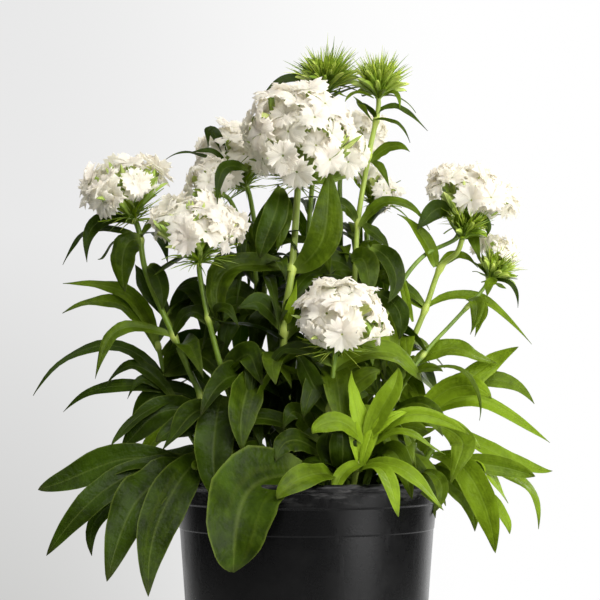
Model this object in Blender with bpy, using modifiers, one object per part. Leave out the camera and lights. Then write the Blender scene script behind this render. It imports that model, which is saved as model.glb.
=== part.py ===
"""A flowering sweet william (Dianthus barbatus) growing in a round nursery pot.

The pot is a tapered plastic shell with a banded rim and a raised drainage ring in its floor.
It is filled with potting soil, in which every stem is planted in a socket of its own.
Flowering stems carry domes of small flowers or tufts of buds, and leaves sit in pairs whose
bases clasp the stem at a swollen joint. Short leafy shoots stand at the edge of the clump.

Frame: origin at the centre of the pot's foot, +Z up, the fullest side of the plant towards -Y.
All tables are in millimetres, and MM turns them into metres.
"""

import math

import bmesh
import bpy
import numpy as np
from mathutils import Vector

MM = 0.001
GAP = 0.3  # air left between pieces that rest on each other
UP = np.array([0.0, 0.0, 1.0])

# --- Driving dimensions of the pot -------------------------------------------------------------
POT_HEIGHT = 165.0
FOOT_RADIUS = 68.0
WALL_TOP_RADIUS = 79.0
BAND_HEIGHT = 14.0
BAND_STEP = 1.6
LIP_RADIUS = 84.0
LIP_HEIGHT = 4.0
WALL = 1.8
LEDGE_HEIGHT = 136.0  # a small step in the wall, where a stacked pot would rest
LEDGE_STEP = 0.7
FLOOR_LIFT = 3.0  # the drainage ring stands this far off the ground
DRAIN_RING = (30.0, 58.0)  # inner and outer radius of the raised ring
DRAIN_HOLE_RADIUS = 6.0
DRAIN_HOLE_CIRCLE = 45.0
DRAIN_HOLES = 6
DRAIN_HOLE_TURN = 0.21
POT_STEPS = 40

# --- The soil ----------------------------------------------------------------------------------
SOIL_TOP = 147.0
SOIL_EDGE_DROP = 2.0
PLANTING_DEPTH = 15.0

# --- Stems: the route from the soil up, radius, and the heights of the leaf joints --------------
STEMS = {
    "centre": dict(route=[(-6, -6, 147), (-12, -10, 200), (-14, -13, 255), (-9, -13, 293)],
                   radius=2.4, joints=(175, 215, 255, 293)),
    "left": dict(route=[(-34, -8, 147), (-46, -10, 176), (-63, -12, 213), (-81, -12, 252), (-98, -9, 290)],
                 radius=2.0, joints=(180, 215, 252, 312)),
    "second_left": dict(route=[(-24, -22, 147), (-34, -27, 180), (-48, -30, 222), (-58, -31, 258)],
                        radius=1.8, joints=(185, 222, 262)),
    "front": dict(route=[(8, -34, 147), (10, -44, 180), (13, -52, 208)],
                  radius=1.8, joints=(176, 208)),
    "top_right": dict(route=[(16, 4, 147), (24, 6, 200), (29, 6, 270), (32, 5, 323), (39, 5, 366)],
                      radius=1.8, joints=(205, 270, 323, 366, 388)),
    "top_left": dict(route=[(0, 14, 147), (1, 22, 230), (1, 27, 310), (6, 26, 370)],
                     radius=1.7, joints=(200, 290, 397)),
    "back_left": dict(route=[(-14, 18, 147), (-20, 30, 220), (-28, 38, 290)],
                      radius=1.8, joints=(215, 285)),
    "low_left": dict(route=[(-18, -2, 147), (-25, 2, 200), (-30, 5, 258), (-33, 6, 300)],
                     radius=1.6, joints=(210, 262, 302)),
    "back_right": dict(route=[(12, 18, 147), (17, 30, 230), (22, 40, 310)],
                       radius=1.8, joints=(225, 300)),
    "low_right": dict(route=[(22, 13, 147), (31, 17, 210), (40, 20, 280)],
                      radius=1.5, joints=(230, 285)),
    "right": dict(route=[(22, -4, 147), (33, -7, 200), (43, -7, 250), (56, -6, 281), (72, -2, 302)],
                  radius=1.5, joints=(225, 266, 317)),
    "right_light": dict(route=[(30, 7, 147), (47, 9, 200), (63, 9, 243), (74, 7, 270), (83, 3, 295)],
                        radius=1.9, joints=(215, 270, 295)),
    "far_right": dict(route=[(33, -13, 147), (45, -15, 190), (59, -12, 223), (74, -8, 244), (89, -5, 260)],
                      radius=1.3, joints=(215, 241, 271)),
    "front_shoot": dict(route=[(24, -46, 147), (27, -53, 163), (30, -58, 177), (34, -59, 190)],
                        radius=1.8, joints=(176, 187)),
    "left_shoot": dict(route=[(-42, 8, 147), (-66, 8, 182), (-84, 8, 215), (-93, 8, 250)],
                       radius=1.7, joints=(206, 228, 247)),
    "right_shoot": dict(route=[(42, 0, 147), (58, -1, 175), (71, -1, 200), (80, 0, 222)],
                        radius=1.8, joints=(182, 203, 218)),
    "left_rosette": dict(route=[(-46, -24, 147), (-55, -27, 162), (-64, -30, 176)],
                         radius=2.2, joints=(168,)),
    "right_rosette": dict(route=[(47, -18, 147), (62, -20, 164), (76, -22, 184)],
                          radius=2.2, joints=(168,)),
    "front_rosette": dict(route=[(-8, -44, 147), (-9, -47, 156), (-10, -50, 165)],
                          radius=2.2, joints=(160,)),
    "back_left_rosette": dict(route=[(-26, 42, 147), (-33, 50, 162), (-38, 57, 178)],
                              radius=2.0, joints=(170,)),
    "back_right_rosette": dict(route=[(26, 44, 147), (32, 52, 162), (36, 60, 178)],
                               radius=2.0, joints=(170,)),
}

# --- Flower heads and bud tufts: the stem, centre, axis and radius -------------------------------
HEADS = {
    "bloom_centre": dict(stem="centre", centre=(-5, -19, 372), axis=(0.02, -0.45, 0.9), radius=36),
    "bloom_left": dict(stem="left", centre=(-113, -8, 347), axis=(-0.3, -0.15, 0.95), radius=29),
    "bloom_second_left": dict(stem="second_left", centre=(-66, -36, 318), axis=(-0.05, -0.35, 0.93),
                              radius=29),
    "bloom_front": dict(stem="front", centre=(19, -73, 262), axis=(0.1, -0.5, 0.86), radius=28),
    "bloom_back_left": dict(stem="back_left", centre=(-46, 42, 369), axis=(-0.35, 0.1, 0.93), radius=25),
    "bloom_low_left": dict(stem="low_left", centre=(-62, 3, 349), axis=(-0.75, -0.1, 0.65), radius=15),
    "bloom_back_right": dict(stem="back_right", centre=(28, 52, 384), axis=(0.2, 0.15, 0.97), radius=26),
    "bloom_low_right": dict(stem="low_right", centre=(46, 27, 349), axis=(0.35, -0.2, 0.9), radius=15),
    "bloom_right": dict(stem="right", centre=(103, 12, 344), axis=(0.3, 0.05, 0.95), radius=27),
}
BUD_HEADS = {
    "buds_top_left": dict(stem="top_left", centre=(13, 22, 424), axis=(0.05, -0.1, 0.99), radius=17),
    "buds_top_right": dict(stem="top_right", centre=(46, 5, 416), axis=(0.06, 0.0, 1.0), radius=15),
    "buds_right": dict(stem="right_light", centre=(99, -13, 322), axis=(0.3, -0.35, 0.85), radius=12),
    "buds_far_right": dict(stem="far_right", centre=(119, 0, 297), axis=(0.55, 0.05, 0.83), radius=12),
}
NECK = 0.09
# The outline of a head from its top down to its neck, as (radius, height) in head radii.
BLOOM_OUTLINE = [(0, 0.90), (0.36, 0.84), (0.66, 0.66), (0.88, 0.38), (1.0, 0.06), (0.95, -0.18),
                 (0.70, -0.34), (0.42, -0.54), (0.20, -0.72), (NECK, -0.82), (0, -0.82)]
BUD_OUTLINE = [(0, 0.80), (0.52, 0.78), (0.86, 0.48), (0.98, 0.06), (0.80, -0.34), (0.46, -0.68),
               (0.16, -0.95), (0, -0.95)]
HEAD_SEGMENTS = 14
FLORETS = 19
FLORET_RELIEF = 0.08
SPIKE = 0.16

# --- Leaves: stem, joint height, then for each blade its tip, width, lift of the arch and roll ----
# A roll above zero turns the upper face of the blade towards -Y.
LEAVES = {
    "leaf_pair_left_top": ("left", 312, [((-150, -6, 297), 9, 17, 35), ((-88, 26, 300), 9, 12, 0)]),
    "leaf_pair_left_joint": ("left", 252, [((-126, -30, 226), 10, 22, 40), ((-64, 22, 272), 9, 6, 0)]),
    "leaf_pair_left_shoot_top": ("left_shoot", 247, [((-152, 8, 285), 12, 4, 50),
                                                    ((-78, 40, 268), 11, 8, 0)]),
    "leaf_pair_left_shoot_middle": ("left_shoot", 228, [((-151, 0, 262), 12, 12, 50),
                                                       ((-62, 48, 240), 11, 12, 0)]),
    "leaf_left_shoot_low": ("left_shoot", 206, [((-169, -4, 214), 11, 26, 35)]),
    "leaf_pair_centre_joint": ("centre", 293, [((-52, -34, 256), 19, 20, 40), ((13, -30, 340), 18, 6, 60)]),
    "leaf_pair_centre_low": ("centre", 215, [((-62, -58, 204), 18, 14, 20), ((22, -30, 234), 15, 8, 30)]),
    "leaf_pair_low_left": ("low_left", 302, [((-72, 34, 318), 13, 6, 20), ((-18, -4, 347), 13, 2, 60)]),
    "leaf_pair_top_right_middle": ("top_right", 366, [((64, -4, 368), 8, 10, 30), ((16, 14, 376), 7, 4, 0)]),
    "leaf_pair_top_right_high": ("top_right", 388, [((76, 10, 381), 5, 9, 20), ((28, -12, 400), 5, 2, 20)]),
    "leaf_pair_top_left": ("top_left", 397, [((-26, 14, 398), 6, 8, 30), ((38, 33, 415), 6, 3, 0)]),
    "leaf_pair_right_light": ("right_light", 270, [((57, 16, 296), 8, 4, 0), ((141, 6, 248), 8, 16, 40)]),
    "leaf_pair_right_top": ("right", 317, [((36, -4, 330), 13, 12, 60), ((112, 40, 312), 8, 8, 0)]),
    "leaf_far_right": ("far_right", 271, [((99, -24, 252), 10, 4, 0)]),
    "leaf_pair_front_shoot": ("front_shoot", 187, [((94, -62, 192), 9, 10, 45),
                                                  ((3, -78, 197), 12, 8, 40)]),
    "leaf_pair_right_shoot_top": ("right_shoot", 218, [((129, -8, 244), 15, 5, 55),
                                                      ((58, 46, 240), 13, 8, 0)]),
    "leaf_pair_right_shoot_low": ("right_shoot", 203, [((151, 10, 187), 10, 20, 45),
                                                      ((70, 58, 200), 13, 14, 0)]),
    "leaf_left_rosette_side": ("left_rosette", 168, [((-160, -34, 160), 15, 14, 50)]),
    "leaf_left_rosette_front": ("left_rosette", 176, [((-112, -82, 112), 22, 26, 10)]),
    "leaf_front_rosette": ("front_rosette", 165, [((-43, -99, 113), 32, 34, 0)]),
    "leaf_right_rosette_side": ("right_rosette", 168, [((148, -36, 172), 14, 8, 50)]),
    "leaf_right_rosette_front": ("right_rosette", 179, [((108, -64, 120), 14, 22, 20)]),
    "leaf_back_left_rosette": ("back_left_rosette", 170, [((-98, 104, 124), 18, 26, 0)]),
    "leaf_back_right_rosette": ("back_right_rosette", 170, [((86, 118, 128), 18, 24, 0)]),
}
LEAF_THICKNESS = 0.8
LEAF_ROWS = 8
COLLAR = 2.4  # how far a pair's joined bases reach out from the joint they clasp
SWELLING = 1.3  # the joint's radius, as a share of the stem's
FOLD = 0.22  # how far the edges stand above the midrib, as a share of the half width

COLOURS = {
    "black_plastic": ((0.016, 0.017, 0.018), 0.38),
    "soil": ((0.045, 0.028, 0.018), 0.95),
    "stem_green": ((0.20, 0.32, 0.07), 0.5),
    "leaf_green": ((0.09, 0.20, 0.03), 0.45),
    "petal_white": ((0.86, 0.84, 0.81), 0.6),
    "bud_green": ((0.24, 0.36, 0.05), 0.5),
}


def material(name):
    """A Principled material in one of the plant's colours."""
    made = bpy.data.materials.get(name)
    if made is None:
        colour, roughness = COLOURS[name]
        made = bpy.data.materials.new(name)
        made.use_nodes = True
        shader = made.node_tree.nodes["Principled BSDF"]
        shader.inputs["Base Color"].default_value = (*colour, 1)
        shader.inputs["Roughness"].default_value = roughness
        made.diffuse_color = (*colour, 1)
    return made


def add(name, data, collection, material_name=None):
    """A new object holding data, in a collection, with its material."""
    made = bpy.data.objects.new(name, data)
    collection.objects.link(made)
    if material_name:
        data.materials.append(material(material_name))
    return made


def hide(cutter):
    """Marks an object as a cutter, which isn't part of the plant."""
    cutter.hide_render = True
    cutter.display_type = "WIRE"
    return cutter


def cut(target, operand):
    """Takes one cutter, or every cutter in a collection, away from the target."""
    boolean = target.modifiers.new("cut", "BOOLEAN")
    boolean.operation = "DIFFERENCE"
    if isinstance(operand, bpy.types.Collection):
        boolean.operand_type = "COLLECTION"
        boolean.collection = operand
    else:
        boolean.object = operand


def turned(name, profile, collection, material_name):
    """A solid turned about Z from a profile of (radius, height) that starts and ends on the axis."""
    mesh = bpy.data.meshes.new(name)
    points = [(r * MM, 0, z * MM) for r, z in profile]
    mesh.from_pydata(points, [(i, i + 1) for i in range(len(points) - 1)], [])
    made = add(name, mesh, collection, material_name)
    screw = made.modifiers.new("turn", "SCREW")
    screw.steps = screw.render_steps = POT_STEPS
    screw.use_merge_vertices = True
    screw.merge_threshold = 0.00001
    screw.use_smooth_shade = True
    return made


def cylinder(name, radius, bottom, top, place, collection, segments=12):
    """An upright closed cylinder at (x, y), all in mm."""
    mesh = bpy.data.meshes.new(name)
    shape = bmesh.new()
    bmesh.ops.create_cone(shape, cap_ends=True, segments=segments, radius1=radius * MM,
                          radius2=radius * MM, depth=(top - bottom) * MM)
    bmesh.ops.translate(shape, verts=shape.verts, vec=(0, 0, (top + bottom) / 2 * MM))
    shape.to_mesh(mesh)
    shape.free()
    made = add(name, mesh, collection)
    made.location = (place[0] * MM, place[1] * MM, 0)
    return made


# --- Pot and soil --------------------------------------------------------------------------------
def wall_radius(height):
    """The outer radius of the tapered wall at a height."""
    band_bottom = POT_HEIGHT - BAND_HEIGHT
    return FOOT_RADIUS + (WALL_TOP_RADIUS - FOOT_RADIUS) * height / band_bottom


def pot_profile():
    """The pot's section: over the floor, up the inside, over the lip, down the outside, under."""
    band_bottom = POT_HEIGHT - BAND_HEIGHT
    band = WALL_TOP_RADIUS + BAND_STEP
    ring_in, ring_out = DRAIN_RING
    floor = [(0, WALL), (ring_in - 1, WALL), (ring_in + 1, FLOOR_LIFT + WALL),
             (ring_out - 1, FLOOR_LIFT + WALL), (ring_out + 1, WALL)]
    inside = [(FOOT_RADIUS - 3.4, WALL), (wall_radius(5) - LEDGE_STEP - WALL, 5),
              (wall_radius(band_bottom) - WALL, band_bottom + 1), (band - WALL, band_bottom + 3),
              (band - WALL + 0.3, POT_HEIGHT - 1.2), (band - WALL + 1.2, POT_HEIGHT)]
    outside = [(LIP_RADIUS - 2.4, POT_HEIGHT), (LIP_RADIUS - 0.5, POT_HEIGHT - 0.7),
               (LIP_RADIUS, POT_HEIGHT - 2.0), (LIP_RADIUS - 0.6, POT_HEIGHT - LIP_HEIGHT),
               (band + 0.4, POT_HEIGHT - LIP_HEIGHT - 0.8), (band, band_bottom + 0.8),
               (WALL_TOP_RADIUS, band_bottom), (wall_radius(LEDGE_HEIGHT), LEDGE_HEIGHT),
               (wall_radius(LEDGE_HEIGHT) - LEDGE_STEP, LEDGE_HEIGHT - 1.5),
               (wall_radius(4) - LEDGE_STEP, 4), (FOOT_RADIUS - 2.2, 0)]
    underside = [(ring_out, 0), (ring_out - 2, FLOOR_LIFT), (ring_in + 2, FLOOR_LIFT), (ring_in, 0),
                 (0, 0)]
    return floor + inside + outside + underside


def build_pot(parts, cutters):
    """The nursery pot: one turned shell with a ring of drain holes through its floor."""
    pot = turned("pot", pot_profile(), parts, "black_plastic")
    for i in range(DRAIN_HOLES):
        angle = DRAIN_HOLE_TURN + 2 * math.pi * i / DRAIN_HOLES
        place = (DRAIN_HOLE_CIRCLE * math.cos(angle), DRAIN_HOLE_CIRCLE * math.sin(angle))
        cut(pot, hide(cylinder(f"drain_cutter_{i}", DRAIN_HOLE_RADIUS, -2, 9, place, cutters, 12)))


def build_soil(parts, sockets):
    """Potting soil: fills the pot to a slight crown, with a socket where each stem is planted."""
    inner = [(wall_radius(z) - LEDGE_STEP - WALL - GAP, z) for z in (8, SOIL_TOP - SOIL_EDGE_DROP)]
    bottom = FLOOR_LIFT + WALL + GAP
    profile = [(0, SOIL_TOP + 0.8), (50, SOIL_TOP + 0.4), (66, SOIL_TOP)]
    profile += reversed(inner)
    profile += [(FOOT_RADIUS - 5, bottom), (0, bottom)]
    cut(turned("potting_soil", profile, parts, "soil"), sockets)


# --- Stems ---------------------------------------------------------------------------------------
def head_of(stem_name):
    """The flower or bud head that a stem carries, with the height of its base, or None."""
    for heads, outline in ((HEADS, BLOOM_OUTLINE), (BUD_HEADS, BUD_OUTLINE)):
        for head in heads.values():
            if head["stem"] == stem_name:
                return head, outline[-1][1]
    return None


def unit(vector):
    """The vector at length one."""
    return np.asarray(vector, float) / np.linalg.norm(vector)


def stem_points(stem_name):
    """The stem's whole route in mm: buried end, hand-set points, and a straight run into its head."""
    route = [np.array(p, float) for p in STEMS[stem_name]["route"]]
    route.insert(0, route[0] - UP * PLANTING_DEPTH)
    route[1] = route[1] + UP * 2
    found = head_of(stem_name)
    if found:
        head, base = found
        axis = unit(head["axis"])
        seat = np.array(head["centre"], float) + axis * (base * head["radius"] - GAP)
        route += [seat - axis * 9, seat]
    return np.array(route)


def smooth(route, spacing=20.0):
    """Points along a Catmull-Rom curve through the route, about spacing apart."""
    padded = np.vstack([2 * route[0] - route[1], route, 2 * route[-1] - route[-2]])
    points = [route[0]]
    for a, b, c, d in zip(padded, padded[1:], padded[2:], padded[3:]):
        steps = max(1, round(np.linalg.norm(c - b) / spacing))
        for t in np.arange(1, steps + 1) / steps:
            points.append(0.5 * (2 * b + (c - a) * t + (2 * a - 5 * b + 4 * c - d) * t * t
                                 + (3 * b - 3 * c + d - a) * t ** 3))
    return np.array(points)


def point_at_height(points, height):
    """The point on a rising polyline at a height."""
    return np.array([np.interp(height, points[:, 2], points[:, k]) for k in range(3)])


def with_joints(points, joints):
    """The polyline with a point at each joint height, and the swelling of the stem at each point."""
    extra = [point_at_height(points, h) for h in joints]
    merged = np.vstack([points, *[e[None] for e in extra]])
    merged = merged[np.argsort(merged[:, 2])]
    keep = [0]
    for i in range(1, len(merged)):
        near_joint = any(abs(merged[i, 2] - h) < 1e-6 for h in joints)
        if np.linalg.norm(merged[i] - merged[keep[-1]]) > 4:
            keep.append(i)
        elif near_joint and len(keep) > 1:
            keep[-1] = i
    keep[-1] = len(merged) - 1
    merged = merged[keep]
    swelling = [SWELLING if any(abs(z - h) < 1e-6 for h in joints) else 1.0 for z in merged[:, 2]]
    return merged, swelling


def stem_curve(name, stem_name, collection, material_name=None, clearance=0.0):
    """A curve object along the stem, thicker at the joints, with a clearance all round."""
    stem = STEMS[stem_name]
    points, swelling = with_joints(smooth(stem_points(stem_name)), stem["joints"])
    curve = bpy.data.curves.new(name, "CURVE")
    curve.dimensions = "3D"
    curve.bevel_depth = stem["radius"] * MM
    curve.bevel_resolution = 1
    curve.use_fill_caps = True
    spline = curve.splines.new("POLY")
    spline.points.add(len(points) - 1)
    for at, place, swell in zip(spline.points, points - points[0], swelling):
        at.co = (*(place * MM), 1)
        at.radius = swell + clearance / stem["radius"]
    made = add(name, curve, collection, material_name)
    made.location = points[0] * MM
    return made


def stem_cutter(stem_name, cutters):
    """A closed mesh tube a little thicker than the stem, for piercing the leaves around it."""
    name = f"{stem_name}_cutter"
    source = stem_curve(name + "_curve", stem_name, cutters, clearance=0.4)
    depsgraph = bpy.context.evaluated_depsgraph_get()
    mesh = bpy.data.meshes.new_from_object(source.evaluated_get(depsgraph))
    cutter = hide(add(name, mesh, cutters))
    cutter.location = source.location
    bpy.data.objects.remove(source)
    shape = bmesh.new()
    shape.from_mesh(mesh)
    bmesh.ops.remove_doubles(shape, verts=shape.verts, dist=0.00001)
    shape.to_mesh(mesh)
    shape.free()
    return cutter


# --- Leaves --------------------------------------------------------------------------------------
def midrib(root, tip, lift, shares):
    """A cubic curve from root to tip that arches by lift, with its tangents, at the shares of it."""
    chord = tip - root
    a, b = root + 0.3 * chord + UP * lift * 1.5, root + 0.72 * chord + UP * lift * 1.1
    s = shares[:, None]
    place = (1 - s) ** 3 * root + 3 * s * (1 - s) ** 2 * a + 3 * s * s * (1 - s) * b + s ** 3 * tip
    tangent = (1 - s) ** 2 * (a - root) + 2 * s * (1 - s) * (b - a) + s * s * (tip - b)
    return place, tangent / np.linalg.norm(tangent, axis=1, keepdims=True)


def blade(root, tip, width, lift, roll, collar, shares):
    """Rows of three points, edge, midrib, edge, for a lance-shaped blade folded along its midrib."""
    place, tangent = midrib(root, tip, lift, shares)
    outward = (tip - root) * (1, 1, 0)
    side = unit(np.cross(unit(outward), UP))
    sides = np.tile(side, (len(shares), 1))
    ups = np.cross(sides, tangent)
    ups /= np.linalg.norm(ups, axis=1, keepdims=True)
    turn = math.radians(roll) * np.clip(shares / 0.35, 0, 1) * (-1 if side[1] < 0 else 1)
    cos, sin = np.cos(turn)[:, None], np.sin(turn)[:, None]
    across, normal = sides * cos + ups * sin, ups * cos - sides * sin
    lance = np.sin(math.pi * shares ** 0.78).clip(0) ** 0.8
    half = np.maximum(width / 2 * lance, 0.45)
    half[0] = collar
    half = half[:, None]
    raised = normal * half * FOLD
    return np.stack([place - across * half + raised, place, place + across * half + raised], axis=1)


def leaf_rows(stem_name, height, blades):
    """The root, and the rows of a single blade or of a pair that meets around the stem, in mm."""
    root = point_at_height(smooth(stem_points(stem_name)), height)
    joint = STEMS[stem_name]["radius"] * SWELLING
    collar = joint * 0.6 if len(blades) == 1 else joint + COLLAR
    shares = np.linspace(0, 1, LEAF_ROWS + 1)
    rows = [blade(root, np.array(tip, float), width, lift, roll, collar, shares)
            for tip, width, lift, roll in blades]
    if len(rows) == 1:
        return root, rows[0]
    first, second = rows
    joined = (second[0] + first[0][::-1]) / 2
    return root, np.concatenate([first[:0:-1, ::-1], joined[None], second[1:]])


def build_leaf(name, parts, cutters_by_stem):
    """A leaf or a pair of leaves: a folded ribbon given its thickness, pierced by its stem."""
    stem_name, height, blades = LEAVES[name]
    root, rows = leaf_rows(stem_name, height, blades)
    count = len(rows)
    points = ((rows - root) * MM).reshape(-1, 3)
    faces = [(3 * r + c, 3 * r + c + 1, 3 * r + c + 4, 3 * r + c + 3)
             for r in range(count - 1) for c in range(2)]
    mesh = bpy.data.meshes.new(name)
    mesh.from_pydata([tuple(p) for p in points], [], faces)
    mesh.shade_smooth()
    leaf = add(name, mesh, parts, "leaf_green")
    leaf.location = root * MM
    thicken = leaf.modifiers.new("thickness", "SOLIDIFY")
    thicken.thickness = LEAF_THICKNESS * MM
    thicken.offset = 0
    cut(leaf, cutters_by_stem[stem_name])
    tidy = leaf.modifiers.new("tidy", "WELD")
    tidy.merge_threshold = 0.00004


# --- Heads ---------------------------------------------------------------------------------------
def spread_on_dome(count):
    """Directions spread evenly over a dome by the golden angle."""
    i = np.arange(count)
    height = 1 - 1.25 * (i + 0.5) / count
    around = i * math.pi * (3 - math.sqrt(5))
    ring = np.sqrt(1 - height ** 2)
    return np.stack([ring * np.cos(around), ring * np.sin(around), height], axis=1)


def build_head(name, head, outline, relief, material_name, parts):
    """A flower dome over its cup of bracts, or a tuft of buds: a sphere drawn to its outline."""
    rings = len(outline) - 1
    shape = bmesh.new()
    bmesh.ops.create_uvsphere(shape, u_segments=HEAD_SEGMENTS, v_segments=rings, radius=1)
    for vertex in shape.verts:
        ring = round(math.acos(max(-1, min(1, vertex.co.z))) / math.pi * rings)
        out, height = outline[ring]
        around = math.atan2(vertex.co.y, vertex.co.x)
        out *= 1 + relief(out * math.cos(around), out * math.sin(around), height, ring)
        place = Vector((out * math.cos(around), out * math.sin(around), height))
        vertex.co = place * head["radius"] * MM
    mesh = bpy.data.meshes.new(name)
    shape.to_mesh(mesh)
    shape.free()
    mesh.shade_smooth()
    made = add(name, mesh, parts, material_name)
    made.location = Vector(head["centre"]) * MM
    made.rotation_euler = Vector(head["axis"]).to_track_quat("Z", "Y").to_euler()


def floret_relief(x, y, height, ring):
    """Low bumps over a dome, one for each flower, and none on the bracts below."""
    if height < -0.3:
        return 0
    nearest = np.linalg.norm(spread_on_dome(FLORETS) - unit((x, y, height)), axis=1).min()
    return FLORET_RELIEF * math.cos(nearest * 9)


def spike_relief(x, y, height, ring):
    """The points of the buds, standing out and in by turns round the tuft."""
    turn = round(math.atan2(y, x) / (2 * math.pi) * HEAD_SEGMENTS)
    return SPIKE * (-1) ** (turn + ring) if height > 0 else 0


def main():
    for old in list(bpy.data.objects):
        bpy.data.objects.remove(old)
    parts = bpy.data.collections.new("potted_dianthus")
    cutters = bpy.data.collections.new("cutters")
    sockets = bpy.data.collections.new("sockets")
    for collection in (parts, cutters, sockets):
        bpy.context.scene.collection.children.link(collection)

    build_pot(parts, cutters)
    cutters_by_stem = {}
    for name, stem in STEMS.items():
        stem_curve("stem_" + name, name, parts, "stem_green")
        cutters_by_stem[name] = stem_cutter(name, cutters)
        socket_radius = stem["radius"] * 1.12 + GAP
        hide(cylinder(f"{name}_socket", socket_radius, SOIL_TOP - PLANTING_DEPTH - GAP, SOIL_TOP + 6,
                      stem["route"][0][:2], sockets, 8))
    build_soil(parts, sockets)
    for name in LEAVES:
        build_leaf(name, parts, cutters_by_stem)
    for name, head in HEADS.items():
        build_head(name, head, BLOOM_OUTLINE, floret_relief, "petal_white", parts)
    for name, head in BUD_HEADS.items():
        build_head(name, head, BUD_OUTLINE, spike_relief, "bud_green", parts)


main()
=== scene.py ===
"""The look of a white sweet william in a black nursery pot.

The file goes up the plant as it grows: pot, soil, stems, leaves, flower heads, buds, and then the
studio around it. Lengths in the tables are millimetres, and MM turns them into metres.
"""

import math

import bmesh
import bpy
import numpy as np
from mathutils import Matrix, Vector


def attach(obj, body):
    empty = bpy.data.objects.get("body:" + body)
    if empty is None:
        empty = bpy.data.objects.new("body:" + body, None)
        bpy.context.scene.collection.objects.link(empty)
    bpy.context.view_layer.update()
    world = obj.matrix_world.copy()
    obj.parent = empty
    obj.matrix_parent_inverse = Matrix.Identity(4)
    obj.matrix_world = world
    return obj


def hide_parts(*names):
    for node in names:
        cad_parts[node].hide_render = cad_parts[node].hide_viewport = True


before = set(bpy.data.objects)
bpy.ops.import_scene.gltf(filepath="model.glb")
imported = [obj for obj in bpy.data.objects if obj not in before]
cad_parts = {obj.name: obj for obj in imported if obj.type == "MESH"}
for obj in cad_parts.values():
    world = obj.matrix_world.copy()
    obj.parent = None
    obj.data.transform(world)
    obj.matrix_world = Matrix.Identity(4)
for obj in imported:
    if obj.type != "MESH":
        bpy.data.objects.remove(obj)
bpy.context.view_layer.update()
MM = 0.001

# === Pot ==========================================================================================
# A thin shell of black polypropylene, blow moulded, with a rolled lip above a plain band and a
# small step in the wall where another pot would stack. Its floor has a raised ring with six drain
# holes. It has been handled: the lip is scuffed and the wall has faint rubs and dust.


class Value:
    """A number or colour at a socket. Python's operators on it add Math nodes."""

    def __init__(self, look, socket):
        self.look = look
        self.socket = socket

    def __add__(self, other):
        return self.look.math("ADD", self, other)

    def __sub__(self, other):
        return self.look.math("SUBTRACT", self, other)

    def __rsub__(self, other):
        return self.look.math("SUBTRACT", other, self)

    def __mul__(self, other):
        return self.look.math("MULTIPLY", self, other)

    __radd__ = __add__
    __rmul__ = __mul__

    def between(self, low, high, start=0.0, end=1.0):
        """This value, taken smoothly from low..high to start..end and held outside it."""
        return self.look.node("ShaderNodeMapRange", {"interpolation_type": "SMOOTHSTEP"},
                              {0: self, 1: low, 2: high, 3: start, 4: end})


class Look:
    """A new material, or another holder of nodes, and the nodes that the finishes are made of."""

    def __init__(self, name, holders=bpy.data.materials):
        self.holder = holders.new(name)
        self.holder.use_nodes = True
        self.tree = self.holder.node_tree
        self.tree.nodes.clear()

    def node(self, kind, settings=None, sockets=None, output=0):
        """A node of one kind: its settings, the values or links of its sockets, and one output."""
        made = self.tree.nodes.new(kind)
        for key, value in (settings or {}).items():
            setattr(made, key, value)
        for key, value in (sockets or {}).items():
            if isinstance(value, Value):
                self.tree.links.new(value.socket, made.inputs[key])
            else:
                made.inputs[key].default_value = value
        return Value(self, made.outputs[output]) if len(made.outputs) else None

    def math(self, operation, *values):
        return self.node("ShaderNodeMath", {"operation": operation}, dict(enumerate(values)))

    def place(self):
        return self.node("ShaderNodeTexCoord", output="Object")

    def grain(self):
        """What swept() gives each point: its place across, its place along and its tone."""
        return self.node("ShaderNodeAttribute", {"attribute_name": "grain"}, output="Vector")

    def split(self, vector):
        """The three parts of a vector, each as a value."""
        made = self.node("ShaderNodeSeparateXYZ", sockets={0: vector})
        return [Value(self, plug) for plug in made.socket.node.outputs]

    def noise(self, where, scale, detail=3.0, roughness=0.5):
        return self.node("ShaderNodeTexNoise", sockets={
            "Vector": where, "Scale": scale, "Detail": detail, "Roughness": roughness})

    def stretched(self, where, scale):
        return self.node("ShaderNodeMapping", sockets={"Vector": where, "Scale": scale})

    def mixed(self, share, first, second):
        return self.node("ShaderNodeMix", {"data_type": "RGBA"},
                         {0: share, 6: as_colour(first), 7: as_colour(second)}, output=2)

    def bump(self, height, distance, strength=1.0):
        return self.node("ShaderNodeBump", sockets={
            "Strength": strength, "Distance": distance, "Height": height})

    def surface(self, colour, roughness, normal=None, glow=None, **fixed):
        """A Principled surface. glow is (colour, share): light let through a thin leaf or petal."""
        sockets = {"Base Color": as_colour(colour), "Roughness": roughness, **fixed}
        if normal:
            sockets["Normal"] = normal
        shader = self.node("ShaderNodeBsdfPrincipled", sockets=sockets)
        if glow:
            through = self.node("ShaderNodeBsdfTranslucent", sockets={"Color": as_colour(glow[0])})
            if normal:
                self.tree.links.new(normal.socket, through.socket.node.inputs["Normal"])
            shader = self.node("ShaderNodeMixShader", sockets={0: glow[1], 1: shader, 2: through})
        self.node("ShaderNodeOutputMaterial", sockets={"Surface": shader})
        return self.holder


def as_colour(value):
    """A written colour gets its alpha, and a linked one is passed on."""
    return value if isinstance(value, Value) else (*value, 1.0)


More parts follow.
